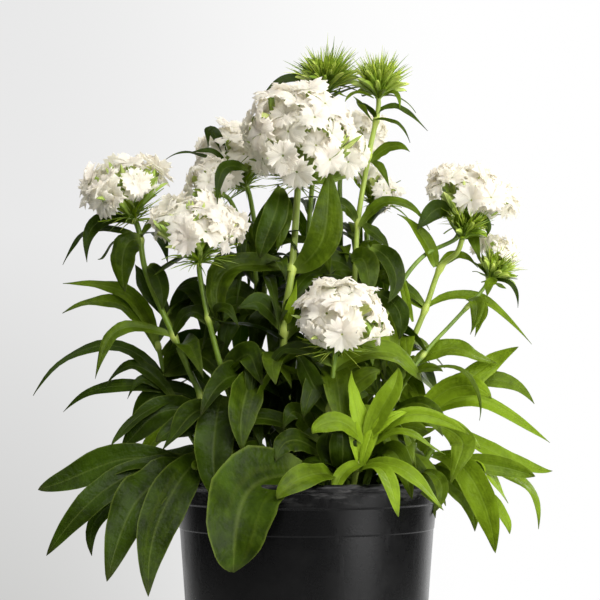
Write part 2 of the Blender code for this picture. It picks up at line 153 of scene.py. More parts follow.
def black_plastic():
    """Near-black plastic: satin, with fine orange peel, upright rubs and pale dust by the lip."""
    look = Look("black_plastic")
    where = look.place()
    height = look.split(where)[2]
    peel = look.noise(where, 900.0, 2.0)
    rubs = look.noise(look.stretched(where, (60, 60, 9)), 3.0, 6.0, 0.65).between(0.56, 0.74)
    dust = look.noise(where, 38.0, 8.0, 0.7).between(0.45, 0.72)
    near_lip = height.between(0.150, 0.1645)
    near_foot = height.between(0.03, 0.0)
    worn = look.noise(look.stretched(where, (26, 26, 90)), 2.5, 6.0, 0.7).between(0.48, 0.66)
    pale = dust * (0.02 + near_lip * 0.22 + near_foot * 0.25) + worn * near_lip * 0.6
    colour = look.mixed(pale, (0.0012, 0.0012, 0.0013), (0.10, 0.098, 0.094))
    roughness = 0.27 + rubs * 0.14 + dust * 0.08 + pale * 0.3
    normal = look.bump(peel * 0.6 + rubs * 0.8 + worn * near_lip * 2.0, 0.00012, 0.5)
    return look.surface(colour, roughness, normal, **{"Specular IOR Level": 0.15})


def rounded(corners, radii):
    """A polyline with each corner replaced by a parabola that starts and ends radius away from it."""
    corners = np.asarray(corners, float)
    before = np.linalg.norm(corners[1:-1] - corners[:-2], axis=1)
    after = np.linalg.norm(corners[2:] - corners[1:-1], axis=1)
    reach = np.minimum(radii, 0.45 * np.minimum(before, after))[:, None]
    start = corners[1:-1] + (corners[:-2] - corners[1:-1]) / before[:, None] * reach
    end = corners[1:-1] + (corners[2:] - corners[1:-1]) / after[:, None] * reach
    t = np.linspace(0, 1, 5)[:, None, None]
    curves = (1 - t) ** 2 * start + 2 * t * (1 - t) * corners[1:-1] + t * t * end
    return np.concatenate([corners[:1], curves.transpose(1, 0, 2).reshape(-1, 2), corners[-1:]])


def added(name, data):
    """A new object in the scene."""
    made = bpy.data.objects.new(name, data)
    bpy.context.scene.collection.objects.link(made)
    return made


def swept(name, rings, traits, material, slot, replaces=(), flat=False):
    """A piece made of n closed bodies, each a row of closed rings of points.

    rings[i, r, k] is point k of ring r of body i. Quad (r, k) joins rings r and r + 1 between
    points k and k + 1. Each end ring is closed by a strip between its halves: quads (j, j + 1,
    k - j - 1, k - j) and a triangle at each end of the strip. Rings turn anticlockwise as seen
    from the end of the row, so faces point outwards. traits holds each point's grain.
    """
    n, r, k, _ = rings.shape
    index = np.arange(n * r * k).reshape(n, r, k)
    near, far = index[:, :-1], index[:, 1:]
    quads = np.stack([near, np.roll(near, -1, 2), np.roll(far, -1, 2), far], axis=-1)
    ends = np.concatenate([index[:, 0, -np.arange(k)], index[:, -1]])
    j = np.arange(1, k // 2 - 1)
    strips = ends[:, np.stack([j, j + 1, k - j - 1, k - j], axis=-1)]
    corners = np.concatenate([quads.reshape(-1), strips.reshape(-1)])
    starts = np.arange(len(corners) // 4) * 4
    tips = ends[:, [[0, 1, k - 1], [k // 2 - 1, k // 2, k // 2 + 1]]].reshape(-1)
    starts = np.concatenate([starts, len(corners) + np.arange(4 * n) * 3])
    corners = np.concatenate([corners, tips])
    mesh = bpy.data.meshes.new(name)
    mesh.vertices.add(n * r * k)
    mesh.vertices.foreach_set("co", (rings * MM).astype(np.float32).reshape(-1))
    mesh.loops.add(len(corners))
    mesh.loops.foreach_set("vertex_index", corners.astype(np.int32))
    mesh.polygons.add(len(starts))
    mesh.polygons.foreach_set("loop_start", starts.astype(np.int32))
    mesh.update(calc_edges=True)
    mesh.validate()
    if traits is not None:
        column = mesh.attributes.new("grain", "FLOAT_VECTOR", "POINT")
        column.data.foreach_set("vector", traits.astype(np.float32).reshape(-1))
    if not flat:
        mesh.shade_smooth()
        mesh.set_sharp_from_angle(angle=math.radians(62))
    piece = added(name, mesh)
    mesh.materials.append(material)
    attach(piece, "root")
    if replaces:
        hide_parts(*replaces)
    return piece


def ring_angles(count):
    return np.linspace(0, 2 * math.pi, count, endpoint=False)


def turned(profile, count):
    """Rings of a surface of revolution: (radius, height) carried round Z, start to end."""
    around = ring_angles(count)
    out, height = profile[:, 0][:, None], profile[:, 1][:, None]
    return np.stack([out * np.cos(around), out * np.sin(around), height + 0 * around], axis=-1)[None]


POT_HEIGHT = 165.0
POT_SIDES = 168
POT_PROFILE = [  # radius and height: floor, up the inside, over the lip, down the outside, under the foot
    (0.05, 1.8), (29, 1.8), (31, 4.8), (57, 4.8), (59, 1.8), (64.6, 1.8), (65.9, 5), (77.2, 152),
    (78.8, 154), (79.1, 163.8), (80, 165), (81.6, 165.2), (83.5, 164.3), (84, 163), (83.4, 161),
    (81.2, 160.2), (80.2, 151.5), (79.3, 150.9), (77.9, 135.8), (77.5, 135.3), (67.6, 4), (65.8, 0),
    (58, 0), (56, 3), (32, 3), (30, 0), (0.05, 0)]
CORNER_RADII = [0.5, 0.8, 0.8, 0.5, 1.0, 3, 1.2, 0.8, 0.8, 0.8, 0.9, 0.9, 0.9, 0.9, 0.8, 1.0, 0.8, 1.2,
                0.8, 0.8, 2.5, 1.5, 0.6, 0.6, 0.6]
DRAIN_HOLES, HOLE_RADIUS, HOLE_CIRCLE, HOLE_TURN = 6, 6.0, 45.0, 0.21
HOLE_MIDDLE, HOLE_DEPTH = 3.5, 12.0


def pot():
    """The turned shell, out of round by a few tenths at the lip, with holes through the raised ring."""
    profile = rounded(POT_PROFILE, CORNER_RADII)
    rings = turned(profile, POT_SIDES)
    around = ring_angles(POT_SIDES)
    bulge = 0.35 * np.cos(2 * around + 0.6) + 0.15 * np.cos(3 * around)
    outwards = np.stack([np.cos(around), np.sin(around), 0 * around], axis=-1)
    share = np.clip(profile[:, 1:] / POT_HEIGHT, 0, 1) ** 2
    rings = rings + outwards * (bulge * share)[None, ..., None]
    piece = swept("pot_shell", rings, None, black_plastic(), "black_plastic", ["pot"])
    for i in range(DRAIN_HOLES):
        angle = HOLE_TURN + 2 * math.pi * i / DRAIN_HOLES
        mesh = bpy.data.meshes.new("bore")
        shape = bmesh.new()
        bmesh.ops.create_cone(shape, cap_ends=True, segments=32, radius1=HOLE_RADIUS * MM,
                              radius2=HOLE_RADIUS * MM, depth=HOLE_DEPTH * MM)
        middle = Vector((HOLE_CIRCLE * math.cos(angle), HOLE_CIRCLE * math.sin(angle), HOLE_MIDDLE))
        bmesh.ops.translate(shape, verts=shape.verts, vec=middle * MM)
        shape.to_mesh(mesh)
        shape.free()
        cutter = added("bore", mesh)
        cut = piece.modifiers.new("bore", "BOOLEAN")
        cut.object = cutter
        depsgraph = bpy.context.evaluated_depsgraph_get()
        bored = bpy.data.meshes.new_from_object(piece.evaluated_get(depsgraph))
        piece.modifiers.remove(cut)
        piece.data = bored
        bpy.data.objects.remove(cutter)
    piece.data.shade_smooth()
    piece.data.set_sharp_from_angle(angle=math.radians(50))


pot()

# === Potting soil =================================================================================
# Moist peat and composted bark that fills the pot to 18 mm below the lip, with bark chips and
# white perlite lying on it. It is one root-filled plug, and the stems grow out of it.
SOIL_LEVEL = 147.0


def lumps(x, y):
    """The soil's height: a sum of seven plane sine waves, each shorter and lower than the last."""
    rng = np.random.default_rng(4)
    total = 0 * x
    for i in range(7):
        length = 60.0 * 0.62 ** i
        heading, phase = rng.uniform(0, 2 * math.pi, 2)
        along = (x * math.cos(heading) + y * math.sin(heading)) / length
        total = total + np.sin(2 * math.pi * along + phase) * 0.7 ** i
    return 0.55 * total


def soil_material():
    """Dark brown crumbs with lighter fibres, rough and matt."""
    look = Look("potting_soil")
    where = look.place()
    crumbs = look.noise(where, 420.0, 8.0, 0.75)
    fibres = look.noise(look.stretched(where, (3, 1, 1)), 260.0, 6.0, 0.7).between(0.55, 0.7)
    colour = look.mixed(crumbs.between(0.35, 0.7), (0.012, 0.008, 0.006), (0.055, 0.034, 0.022))
    colour = look.mixed(fibres * 0.5, colour, (0.11, 0.075, 0.045))
    return look.surface(colour, 0.92, look.bump(crumbs + fibres, 0.0012, 0.9))


top = np.linspace(0.2, 74.6, 66)
edge = np.array([(75.4, 144.5), (75.4, 140), (67, 12), (65.6, 6.2), (62, 5.4), (0.2, 5.4)])
soil_profile = np.concatenate([np.stack([top, 0 * top + SOIL_LEVEL], axis=1), edge])[::-1]
soil_rings = turned(soil_profile, 150)
on_top = soil_rings[..., 2] >= SOIL_LEVEL - 0.1
soil_rings[..., 2] += on_top * (lumps(soil_rings[..., 0], soil_rings[..., 1]) - 0.2)
swept("soil_plug", soil_rings, None, soil_material(), "soil", ["potting_soil"])


def chips(name, count, sizes, seed, dark, pale):
    """Chips on the soil: six-sided spindles of four rings, stretched and turned at random."""
    rng = np.random.default_rng(seed)
    out = 73 * np.sqrt(rng.uniform(0.02, 1, count))
    heading = rng.uniform(0, 2 * math.pi, count)
    x, y = out * np.cos(heading), out * np.sin(heading)
    size = rng.uniform(*sizes, count)
    z = SOIL_LEVEL + lumps(x, y) + size * 0.12
    around = ring_angles(6)
    ring_size = np.array([0.35, 0.95, 1.0, 0.4])
    along = np.array([-0.5, -0.25, 0.28, 0.5])
    rough = rng.uniform(0.7, 1.15, (count, 4, 6))
    out = ring_size[None, :, None] * rough * size[:, None, None] * 0.3
    local = np.stack([out * np.cos(around), out * np.sin(around) * 0.6,
                      along[None, :, None] * size[:, None, None] + 0 * out], axis=-1)
    pitch = rng.uniform(-0.5, 0.5, count) + math.pi / 2
    yaw = rng.uniform(0, 2 * math.pi, count)
    cp, sp, cy, sy = np.cos(pitch), np.sin(pitch), np.cos(yaw), np.sin(yaw)
    turn = np.stack([np.stack([cy * cp, -sy, cy * sp], -1), np.stack([sy * cp, cy, sy * sp], -1),
                     np.stack([-sp, 0 * sp, cp], -1)], -2)
    rings = np.einsum("nij,nrkj->nrki", turn, local) + np.stack([x, y, z], -1)[:, None, None]
    look = Look(name)
    mottle = look.noise(look.place(), 700.0, 5.0, 0.7)
    colour = look.mixed(mottle.between(0.3, 0.7), dark, pale)
    finish = look.surface(colour, 0.85, look.bump(mottle, 0.0005, 0.6))
    swept(name, rings, None, finish, "soil", flat=True)


chips("bark_chips", 420, (2.5, 7.5), 11, (0.03, 0.017, 0.010), (0.10, 0.058, 0.032))
chips("perlite", 90, (1.6, 3.4), 12, (0.55, 0.54, 0.50), (0.80, 0.79, 0.76))

# === Stems ========================================================================================
# Round, smooth, pale green stems, stiff and a little zigzag, with a swollen joint wherever a pair
# of leaves clasps them. They come out of the soil all over the pot.
UP = np.array([0.0, 0.0, 1.0])
STEMS = {  # the route from the soil up, the radius and the heights of the joints
    "centre": ([(-6, -6, 147), (-12, -10, 200), (-14, -13, 255), (-9, -13, 293)], 2.4,
               (175, 215, 255, 293)),
    "left": ([(-34, -8, 147), (-46, -10, 176), (-63, -12, 213), (-81, -12, 252), (-98, -9, 290)], 2.0,
             (180, 215, 252, 312)),
    "second_left": ([(-24, -22, 147), (-34, -27, 180), (-48, -30, 222), (-58, -31, 258)], 1.8,
                    (185, 222, 262)),
    "front": ([(8, -34, 147), (10, -44, 180), (13, -52, 208)], 1.8, (176, 208)),
    "top_right": ([(16, 4, 147), (24, 6, 200), (29, 6, 270), (32, 5, 323), (39, 5, 366)], 1.8,
                  (205, 270, 323, 366, 388)),
    "top_left": ([(0, 14, 147), (1, 22, 230), (1, 27, 310), (6, 26, 370)], 1.7, (200, 290, 397)),
    "back_left": ([(-14, 18, 147), (-20, 30, 220), (-28, 38, 290)], 1.8, (215, 285)),
    "low_left": ([(-18, -2, 147), (-25, 2, 200), (-30, 5, 258), (-33, 6, 300)], 1.6, (210, 262, 302)),
    "back_right": ([(12, 18, 147), (17, 30, 230), (22, 40, 310)], 1.8, (225, 300)),
    "low_right": ([(22, 13, 147), (31, 17, 210), (40, 20, 280)], 1.5, (230, 285)),
    "right": ([(22, -4, 147), (33, -7, 200), (43, -7, 250), (56, -6, 281), (72, -2, 302)], 1.5,
              (225, 266, 317)),
    "right_light": ([(30, 7, 147), (47, 9, 200), (63, 9, 243), (74, 7, 270), (83, 3, 295)], 1.9,
                    (215, 270, 295)),
    "far_right": ([(33, -13, 147), (45, -15, 190), (59, -12, 223), (74, -8, 244), (89, -5, 260)], 1.3,
                  (215, 241, 271)),
    "front_shoot": ([(24, -46, 147), (27, -53, 163), (30, -58, 177), (34, -59, 190)], 1.8, (176, 187)),
    "left_shoot": ([(-42, 8, 147), (-66, 8, 182), (-84, 8, 215), (-93, 8, 250)], 1.7, (206, 228, 247)),
    "right_shoot": ([(42, 0, 147), (58, -1, 175), (71, -1, 200), (80, 0, 222)], 1.8, (182, 203, 218)),
    "left_rosette": ([(-46, -24, 147), (-55, -27, 162), (-64, -30, 176)], 2.2, (168,)),
    "right_rosette": ([(47, -18, 147), (62, -20, 164), (76, -22, 184)], 2.2, (168,)),
    "front_rosette": ([(-8, -44, 147), (-9, -47, 156), (-10, -50, 165)], 2.2, (160,)),
    "back_left_rosette": ([(-26, 42, 147), (-33, 50, 162), (-38, 57, 178)], 2.0, (170,)),
    "back_right_rosette": ([(26, 44, 147), (32, 52, 162), (36, 60, 178)], 2.0, (170,)),
}
HEADS = {  # the stem, centre, axis and radius of each flower head
    "bloom_centre": ("centre", (-5, -19, 372), (0.02, -0.45, 0.9), 36),
    "bloom_left": ("left", (-113, -8, 347), (-0.3, -0.15, 0.95), 29),
    "bloom_second_left": ("second_left", (-66, -36, 318), (-0.05, -0.35, 0.93), 29),
    "bloom_front": ("front", (19, -73, 262), (0.1, -0.5, 0.86), 28),
    "bloom_back_left": ("back_left", (-46, 42, 369), (-0.35, 0.1, 0.93), 25),
    "bloom_low_left": ("low_left", (-62, 3, 349), (-0.75, -0.1, 0.65), 15),
    "bloom_back_right": ("back_right", (28, 52, 384), (0.2, 0.15, 0.97), 26),
    "bloom_low_right": ("low_right", (46, 27, 349), (0.35, -0.2, 0.9), 15),
    "bloom_right": ("right", (103, 12, 344), (0.3, 0.05, 0.95), 27),
}
BUD_HEADS = {
    "buds_top_left": ("top_left", (13, 22, 424), (0.05, -0.1, 0.99), 17),
    "buds_top_right": ("top_right", (46, 5, 416), (0.06, 0.0, 1.0), 15),
    "buds_right": ("right_light", (99, -13, 322), (0.3, -0.35, 0.85), 12),
    "buds_far_right": ("far_right", (119, 0, 297), (0.55, 0.05, 0.83), 12),
}
HEAD_BASE, BUD_BASE = 0.82, 0.95  # a head's foot is this many radii below its centre
STEM_STEP = 2.0


def unit(vector):
    """The vector, or each row of vectors, at length one."""
    vector = np.asarray(vector, float)
    return vector / np.linalg.norm(vector, axis=-1, keepdims=True)


def head_foot(centre, axis, radius, base):
    return np.array(centre, float) - unit(axis) * base * radius


def stem_line(name):
    """Points on a Catmull-Rom curve from 8 mm deep, through the stem's route, into its head's foot."""
    route = [np.array(p, float) for p in STEMS[name][0]]
    route.insert(0, route[0] - UP * 8)
    for table, base in ((HEADS, HEAD_BASE), (BUD_HEADS, BUD_BASE)):
        for stem, centre, axis, radius in table.values():
            if stem == name:
                foot = head_foot(centre, axis, radius, base)
                route += [foot - unit(axis) * 9, foot + unit(axis) * 1.5]
    route = np.array(route)
    padded = np.vstack([2 * route[0] - route[1], route, 2 * route[-1] - route[-2]])
    runs = [route[:1]]
    for a, b, c, d in zip(padded, padded[1:], padded[2:], padded[3:]):
        steps = max(2, round(np.linalg.norm(c - b) / STEM_STEP))
        t = (np.arange(1, steps + 1) / steps)[:, None]
        runs.append(0.5 * (2 * b + (c - a) * t + (2 * a - 5 * b + 4 * c - d) * t * t
                           + (3 * b - 3 * c + d - a) * t ** 3))
    return np.vstack(runs)


def grain(across, way, tone):
    """The three numbers of each point, which may each be given for fewer points and are repeated."""
    return np.stack(np.broadcast_arrays(across, way, tone), axis=-1)


def sheath(line, first, second, girth, around):
    """Rings of tubes along lines: line + girth * (cos(around) * first + sin(around) * second)."""
    rings = line[:, :, None] + first[:, :, None] * (girth * np.cos(around))[..., None]
    return rings + second[:, :, None] * (girth * np.sin(around))[..., None]


def stem_material(name, dark, mid, pale):
    """Green stem skin: fine ribs along it, paler at the joints, slightly waxy."""
    look = Look(name)
    tone = look.split(look.grain())[2]
    where = look.place()
    mottle = look.noise(where, 90.0, 4.0, 0.6)
    ribs = look.noise(look.stretched(where, (700, 700, 12)), 1.0, 3.0)
    colour = look.mixed(mottle.between(0.35, 0.65), dark, mid)
    colour = look.mixed(tone.between(0.2, 1.0), colour, pale)
    return look.surface(colour, 0.42 + mottle * 0.12, look.bump(ribs * 0.7 + mottle, 0.0003, 0.4),
                        glow=(pale, 0.15))


def stem_skin(name, radius, joints):
    """One stem: it tapers from 1.08 to 0.86 of its radius, and swells and pales round each joint."""
    line = stem_line(name)
    way = np.linspace(0, 1, len(line))
    swell = sum(np.exp(-((line[:, 2] - z) / 2.4) ** 2) for z in joints)
    girth = radius * (1.08 - 0.22 * way + 0.42 * swell)
    tangent = unit(np.gradient(line, axis=0))
    first = unit(np.cross(np.cross(tangent, [0.31, -0.94, 0.1]), tangent))
    around = ring_angles(14)
    rings = sheath(line[None], first[None], np.cross(tangent, first)[None], girth[None, :, None], around)
    young = 0.6 if name in YOUNG_STEMS else 0.05 if name in OLD_STEMS else 0.25
    tone = np.clip(young + 0.75 * swell, 0, 1)
    return rings, grain(np.sin(around), way[None, :, None], tone[None, :, None])


YOUNG_STEMS = ("right_light", "top_right", "right_shoot", "front_shoot", "centre")
OLD_STEMS = ("right", "far_right")
stem_look = stem_material("stem_skin", (0.10, 0.175, 0.010), (0.185, 0.29, 0.019), (0.46, 0.56, 0.10))
for name, (_, radius, joints) in STEMS.items():
    skin = stem_skin(name, radius, joints)
    swept("stem_skin_" + name, *skin, stem_look, "stem_green", ["stem_" + name])

# === Leaves =======================================================================================
# Lance-shaped leaves in opposite pairs whose bases clasp the stem. The blade is thin and smooth,
# folded a little along a pale midrib, puckered, with gently waved edges. Old leaves are deep green,
# and young ones are yellow-green. Leaves at the right, with the light behind them, are given a higher
# tone as well: there the yellow-green is partly a painted backlit glow.
BLADE_ROWS, BLADE_COLUMNS = 18, 9


def both_skins(columns):
    """The places across a thin shell, over and back under, and how far out its skin lies there."""
    over = np.linspace(1, -1, columns)
    c = np.concatenate([over, -over[1:-1]])[None, None]
    side = np.concatenate([0 * over + 1, 0 * over[1:-1] - 1])
    return c, side * np.sqrt(1 - c * c)


def blades(table, seed):
    """Rings and traits of many leaves, one closed thin shell each.

    A leaf's midrib is the parabola through root, middle and tip. At share s of it the half width is
    width / 2 times s^a (1 - s)^b, scaled to 1 at its widest, and a little more at the clasping root.
    Leaves that start low are broadest towards the tip, and narrow ones higher up run to a long point.
    Across it, at c from -1 to 1, the blade stands fold * |c|^1.4 above the midrib, bends down
    towards its edges and waves there. face is the turn of its upper side, in degrees: 0 is up, 90
    is towards -Y, and 180 is down. The shell's thickness fades to nothing at the edges.
    """
    rng = np.random.default_rng(seed)
    n = len(table)
    root, middle, tip = (np.array([row[i] for row in table], float)[:, None] for i in range(3))
    width = np.array([row[3] for row in table], float)[:, None]
    face = np.radians([row[4] for row in table])[:, None, None]
    tone = np.array([row[5] for row in table], float)[:, None, None]
    s = 1 - (1 - np.linspace(0, 1, BLADE_ROWS)[None, :, None]) ** 1.35
    bend = 2 * middle - (root + tip) / 2
    line = (1 - s) ** 2 * root + 2 * s * (1 - s) * bend + s * s * tip
    reach = np.linalg.norm(tip - root, axis=-1, keepdims=True)
    line = line + rng.standard_normal((n, 1, 3)) * 0.035 * reach * np.sin(2 * math.pi * s) * s
    tangent = unit(np.gradient(line, axis=1) + 1e-9)
    facing = np.concatenate([0 * face, -np.sin(face), np.cos(face)], axis=-1)
    upper = facing - tangent * np.sum(facing * tangent, axis=-1, keepdims=True)
    upper = unit(upper + 1e-4)
    twist = (rng.uniform(-38, 38, (n, 1, 1)) * s + rng.uniform(-10, 10, (n, 1, 1))) * math.pi / 180
    side = np.cross(upper, tangent)
    side, upper = side * np.cos(twist) + upper * np.sin(twist), upper * np.cos(twist) - side * np.sin(twist)
    way = s[..., 0]
    low = np.clip((190 - root[..., 2]) / 25, 0, 1) * np.clip((40 - width) / 10, 0, 1)
    slender = np.clip((15 - width) / 8, 0, 1) * (1 - low)
    a = rng.uniform(0.75, 0.95, (n, 1)) + 0.28 * low + 0.1 * slender
    b = rng.uniform(0.80, 1.0, (n, 1)) - 0.08 * low + 0.42 * slender
    peak = (a / (a + b)) ** a * (b / (a + b)) ** b
    half = width / 2 * (way ** a * (1 - way) ** b / peak + 0.24 * (1 - way) ** 6) + 0.12
    c, skin = both_skins(BLADE_COLUMNS)
    broad = np.clip((width[..., None] - 12) / 12, 0, 1)
    fold = rng.uniform(0.10, 0.55, (n, 1, 1)) * (1 - 0.5 * s) + 0.10 * broad
    curl = rng.uniform(0.0, 0.3, (n, 1, 1)) * s
    waves = rng.uniform(1.5, 3.4, (n, 1, 1))
    phase = rng.uniform(0, 6.3, (n, 1, 1))
    tone = tone + rng.uniform(-0.08, 0.16, (n, 1, 1))
    wave = (rng.uniform(0.03, 0.18, (n, 1, 1)) + 0.05 * broad)
    wave = wave * np.sin(2 * math.pi * waves * s + phase + 0.9 * np.sign(c))
    ragged = 0.02 * np.sin(2 * math.pi * 1.6 * waves * s + 2 * phase + 1.9 * np.sign(c))
    rise = fold * abs(c) ** 1.4 - curl * c ** 4 + wave * c * c
    half = half[..., None] * (1 + ragged * c * c)
    rings = line[:, :, None] + side[:, :, None] * (c * half)[..., None]
    rings = rings + upper[:, :, None] * (rise * half + 0.24 * skin)[..., None]
    return rings, grain(c, s, tone)


def leaf_material():
    """A leaf: faint midrib, small puckers, mottled green that lightens with the leaf's tone.

    The edges and the clasping base are pale, the tip is brown, and leaves of high tone, whether young
    or raised as a painted backlit glow, let more light through.
    """
    look = Look("leaf_blade")
    deep, mid, young = (0.015, 0.027, 0.0009), (0.031, 0.056, 0.0018), (0.26, 0.39, 0.016)
    on_blade = look.grain()
    across, way, tone = look.split(on_blade)
    where = look.place()
    off = look.math("ABSOLUTE", across)
    streaks = look.noise(look.stretched(on_blade, (7, 0.9, 60)), 1.0, 2.0, 0.4)
    midrib = off.between(0.12, 0.0)
    mottle = look.noise(where, 130.0, 3.0, 0.6)
    blisters = look.noise(where, 330.0, 1.0)
    # Lighter green patches over every blade: a painted highlight that stands for the blotchy sheen.
    painted_highlight_patches = look.noise(where, 42.0, 1.0).between(0.46, 0.70)
    green = look.mixed(mottle.between(0.25, 0.8), deep, mid)
    green = look.mixed(painted_highlight_patches * 0.45, green, (0.052, 0.100, 0.003))
    green = look.mixed((tone + mottle * 0.3 - 0.15).between(0.12, 0.95), green, young)
    green = look.mixed(streaks.between(0.50, 0.75) * tone * 0.20, green, (0.42, 0.52, 0.05))
    green = look.mixed(streaks.between(0.48, 0.28) * (0.04 + tone * 0.22), green, deep)
    green = look.mixed(midrib * 0.10, green, (0.36, 0.46, 0.10))
    green = look.mixed(off.between(0.90, 1.0) * 0.22, green, (0.30, 0.38, 0.06))
    green = look.mixed(way.between(0.16, 0.0) * 0.5, green, (0.30, 0.42, 0.07))
    green = look.mixed(way.between(0.90, 1.0) * 0.5, green, (0.040, 0.036, 0.014))
    glow = look.mixed((tone + mottle * 0.3 - 0.1).between(0.1, 0.95), (0.13, 0.23, 0.004),
                      (0.54, 0.70, 0.02))
    height = mottle * 0.6 + blisters * 0.6 + streaks * 0.2 - midrib * 0.2
    return look.surface(green, 0.30 + mottle * 0.2, look.bump(height, 0.0011, 0.7),
                        glow=(glow, 0.30), **{"Specular IOR Level": 0.10})


PAIRS = {  # each leaf: root, middle, tip, width, the turn of its face, tone from old 0 to young 1, set higher at the right as painted backlight
    "leaf_pair_left_top": [((-104, -8, 314), (-134, -4, 318), (-151, 0, 297), 8, 40, 0.0),
                           ((-104, -8, 314), (-92, 8, 316), (-88, 26, 300), 9, 0, 0.1)],
    "leaf_pair_left_joint": [((-81, -12, 252), (-115, -20, 255), (-127, -28, 226), 9, 55, 0.22),
                             ((-81, -12, 252), (-70, 8, 270), (-64, 22, 272), 10, 0, 0.1)],
    "leaf_pair_left_shoot_top": [((-93, 8, 248), (-114, 8, 281), (-152, 8, 286), 11, 55, 0.3),
                                 ((-93, 8, 248), (-84, 26, 268), (-78, 40, 268), 11, 0, 0.2)],
    "leaf_pair_left_shoot_middle": [((-92, 8, 244), (-114, 6, 272), (-151, 0, 267), 12, 55, 0.28),
                                    ((-88, 8, 230), (-76, 30, 250), (-62, 48, 240), 11, 0, 0.1)],
    "leaf_left_shoot_low": [((-79, 8, 207), (-121, 2, 247), (-168, -4, 216), 10, 55, 0.05)],
    "leaf_pair_centre_joint": [((-9, -13, 293), (-49, -28, 290), (-50, -36, 256), 18, 60, 0.16),
                               ((-7, -13, 293), (11, -27, 314), (14, -29, 352), 20, 88, 0.4)],
    "leaf_pair_centre_low": [((-13, -11, 215), (-42, -38, 228), (-62, -58, 204), 18, 60, 0.0),
                             ((-13, -11, 215), (6, -22, 236), (22, -30, 236), 15, 40, 0.1)],
    "leaf_pair_low_left": [((-34, 6, 302), (-54, 20, 320), (-72, 34, 318), 13, 30, 0.1),
                           ((-34, 6, 302), (-24, 0, 326), (-18, -4, 347), 13, 75, 0.1)],
    "leaf_pair_top_right_middle": [((40, 5, 362), (53, 0, 371), (64, -4, 367), 8, 55, 0.3),
                                   ((39, 5, 366), (28, 10, 374), (16, 14, 376), 7, 10, 0.4)],
    "leaf_pair_top_right_high": [((42, 5, 390), (57, 4, 396), (76, 8, 382), 5, 40, 0.3),
                                 ((41, 5, 388), (34, -4, 395), (29, -12, 400), 5.5, 30, 0.5)],
    "leaf_pair_top_left": [((10, 24, 409), (-10, 20, 418), (-27, 14, 406), 6, 55, 0.0),
                           ((9, 25, 397), (22, 30, 410), (38, 33, 414), 6, 0, 0.4)],
    "leaf_pair_right_light": [((74, 7, 270), (64, 12, 280), (57, 16, 296), 9, 50, 0.5),
                              ((74, 7, 270), (105, 4, 277), (140, 6, 248), 8, 45, 0.6)],
    "leaf_pair_right_top": [((33, 2, 321), (54, -4, 336), (76, -6, 318), 9, 60, 0.3),
                            ((90, 4, 328), (80, -4, 331), (68, -8, 318), 12, 70, 0.05),
                            ((80, 3, 296), (72, -2, 313), (56, -6, 328), 10, 75, 0.35),
                            ((86, 5, 317), (100, 22, 322), (112, 40, 312), 8, 0, 0.4)],
    "leaf_far_right": [((99, -4, 275), (104, -16, 270), (99, -22, 253), 9, 50, 0.4)],
    "leaf_pair_front_shoot": [((34, -59, 187), (64, -64, 205), (94, -64, 193), 9, 60, 0.68),
                              ((34, -59, 187), (17, -74, 201), (3, -78, 194), 12, 60, 0.6)],
    "leaf_pair_right_shoot_top": [((79, 0, 216), (104, -4, 229), (130, -7, 246), 14, 60, 0.65),
                                  ((79, 0, 218), (68, 28, 238), (58, 46, 240), 13, 0, 0.3)],
    "leaf_pair_right_shoot_low": [((73, -1, 203), (112, 2, 211), (151, 8, 187), 9.5, 60, 0.6),
                                  ((73, -1, 203), (74, 32, 214), (70, 58, 200), 13, 0, 0.2)],
    "leaf_left_rosette_side": [((-62, -29, 169), (-114, -28, 177), (-160, -33, 160), 19, 60, 0.05)],
    "leaf_left_rosette_front": [((-64, -30, 176), (-94, -56, 160), (-114, -74, 110), 27, 60, 0.05)],
    "leaf_front_rosette": [((0, -50, 170), (-36, -87, 157), (-41, -92, 117), 40, 55, 0.07)],
    "leaf_right_rosette_side": [((68, -21, 168), (106, -28, 175), (136, -34, 168), 12, 50, 0.5)],
    "leaf_right_rosette_front": [((76, -22, 180), (98, -44, 166), (109, -60, 125), 17, 50, 0.48)],
    "leaf_back_left_rosette": [((-36, 54, 170), (-72, 86, 176), (-98, 104, 124), 18, -30, 0.1)],
    "leaf_back_right_rosette": [((34, 56, 170), (66, 94, 178), (86, 118, 130), 18, -30, 0.2)],
}
leaf_look = leaf_material()
for seed, (node, table) in enumerate(PAIRS.items()):
    swept("blades_" + node[5:], *blades(table, 40 + seed), leaf_look, "leaf_green", [node])

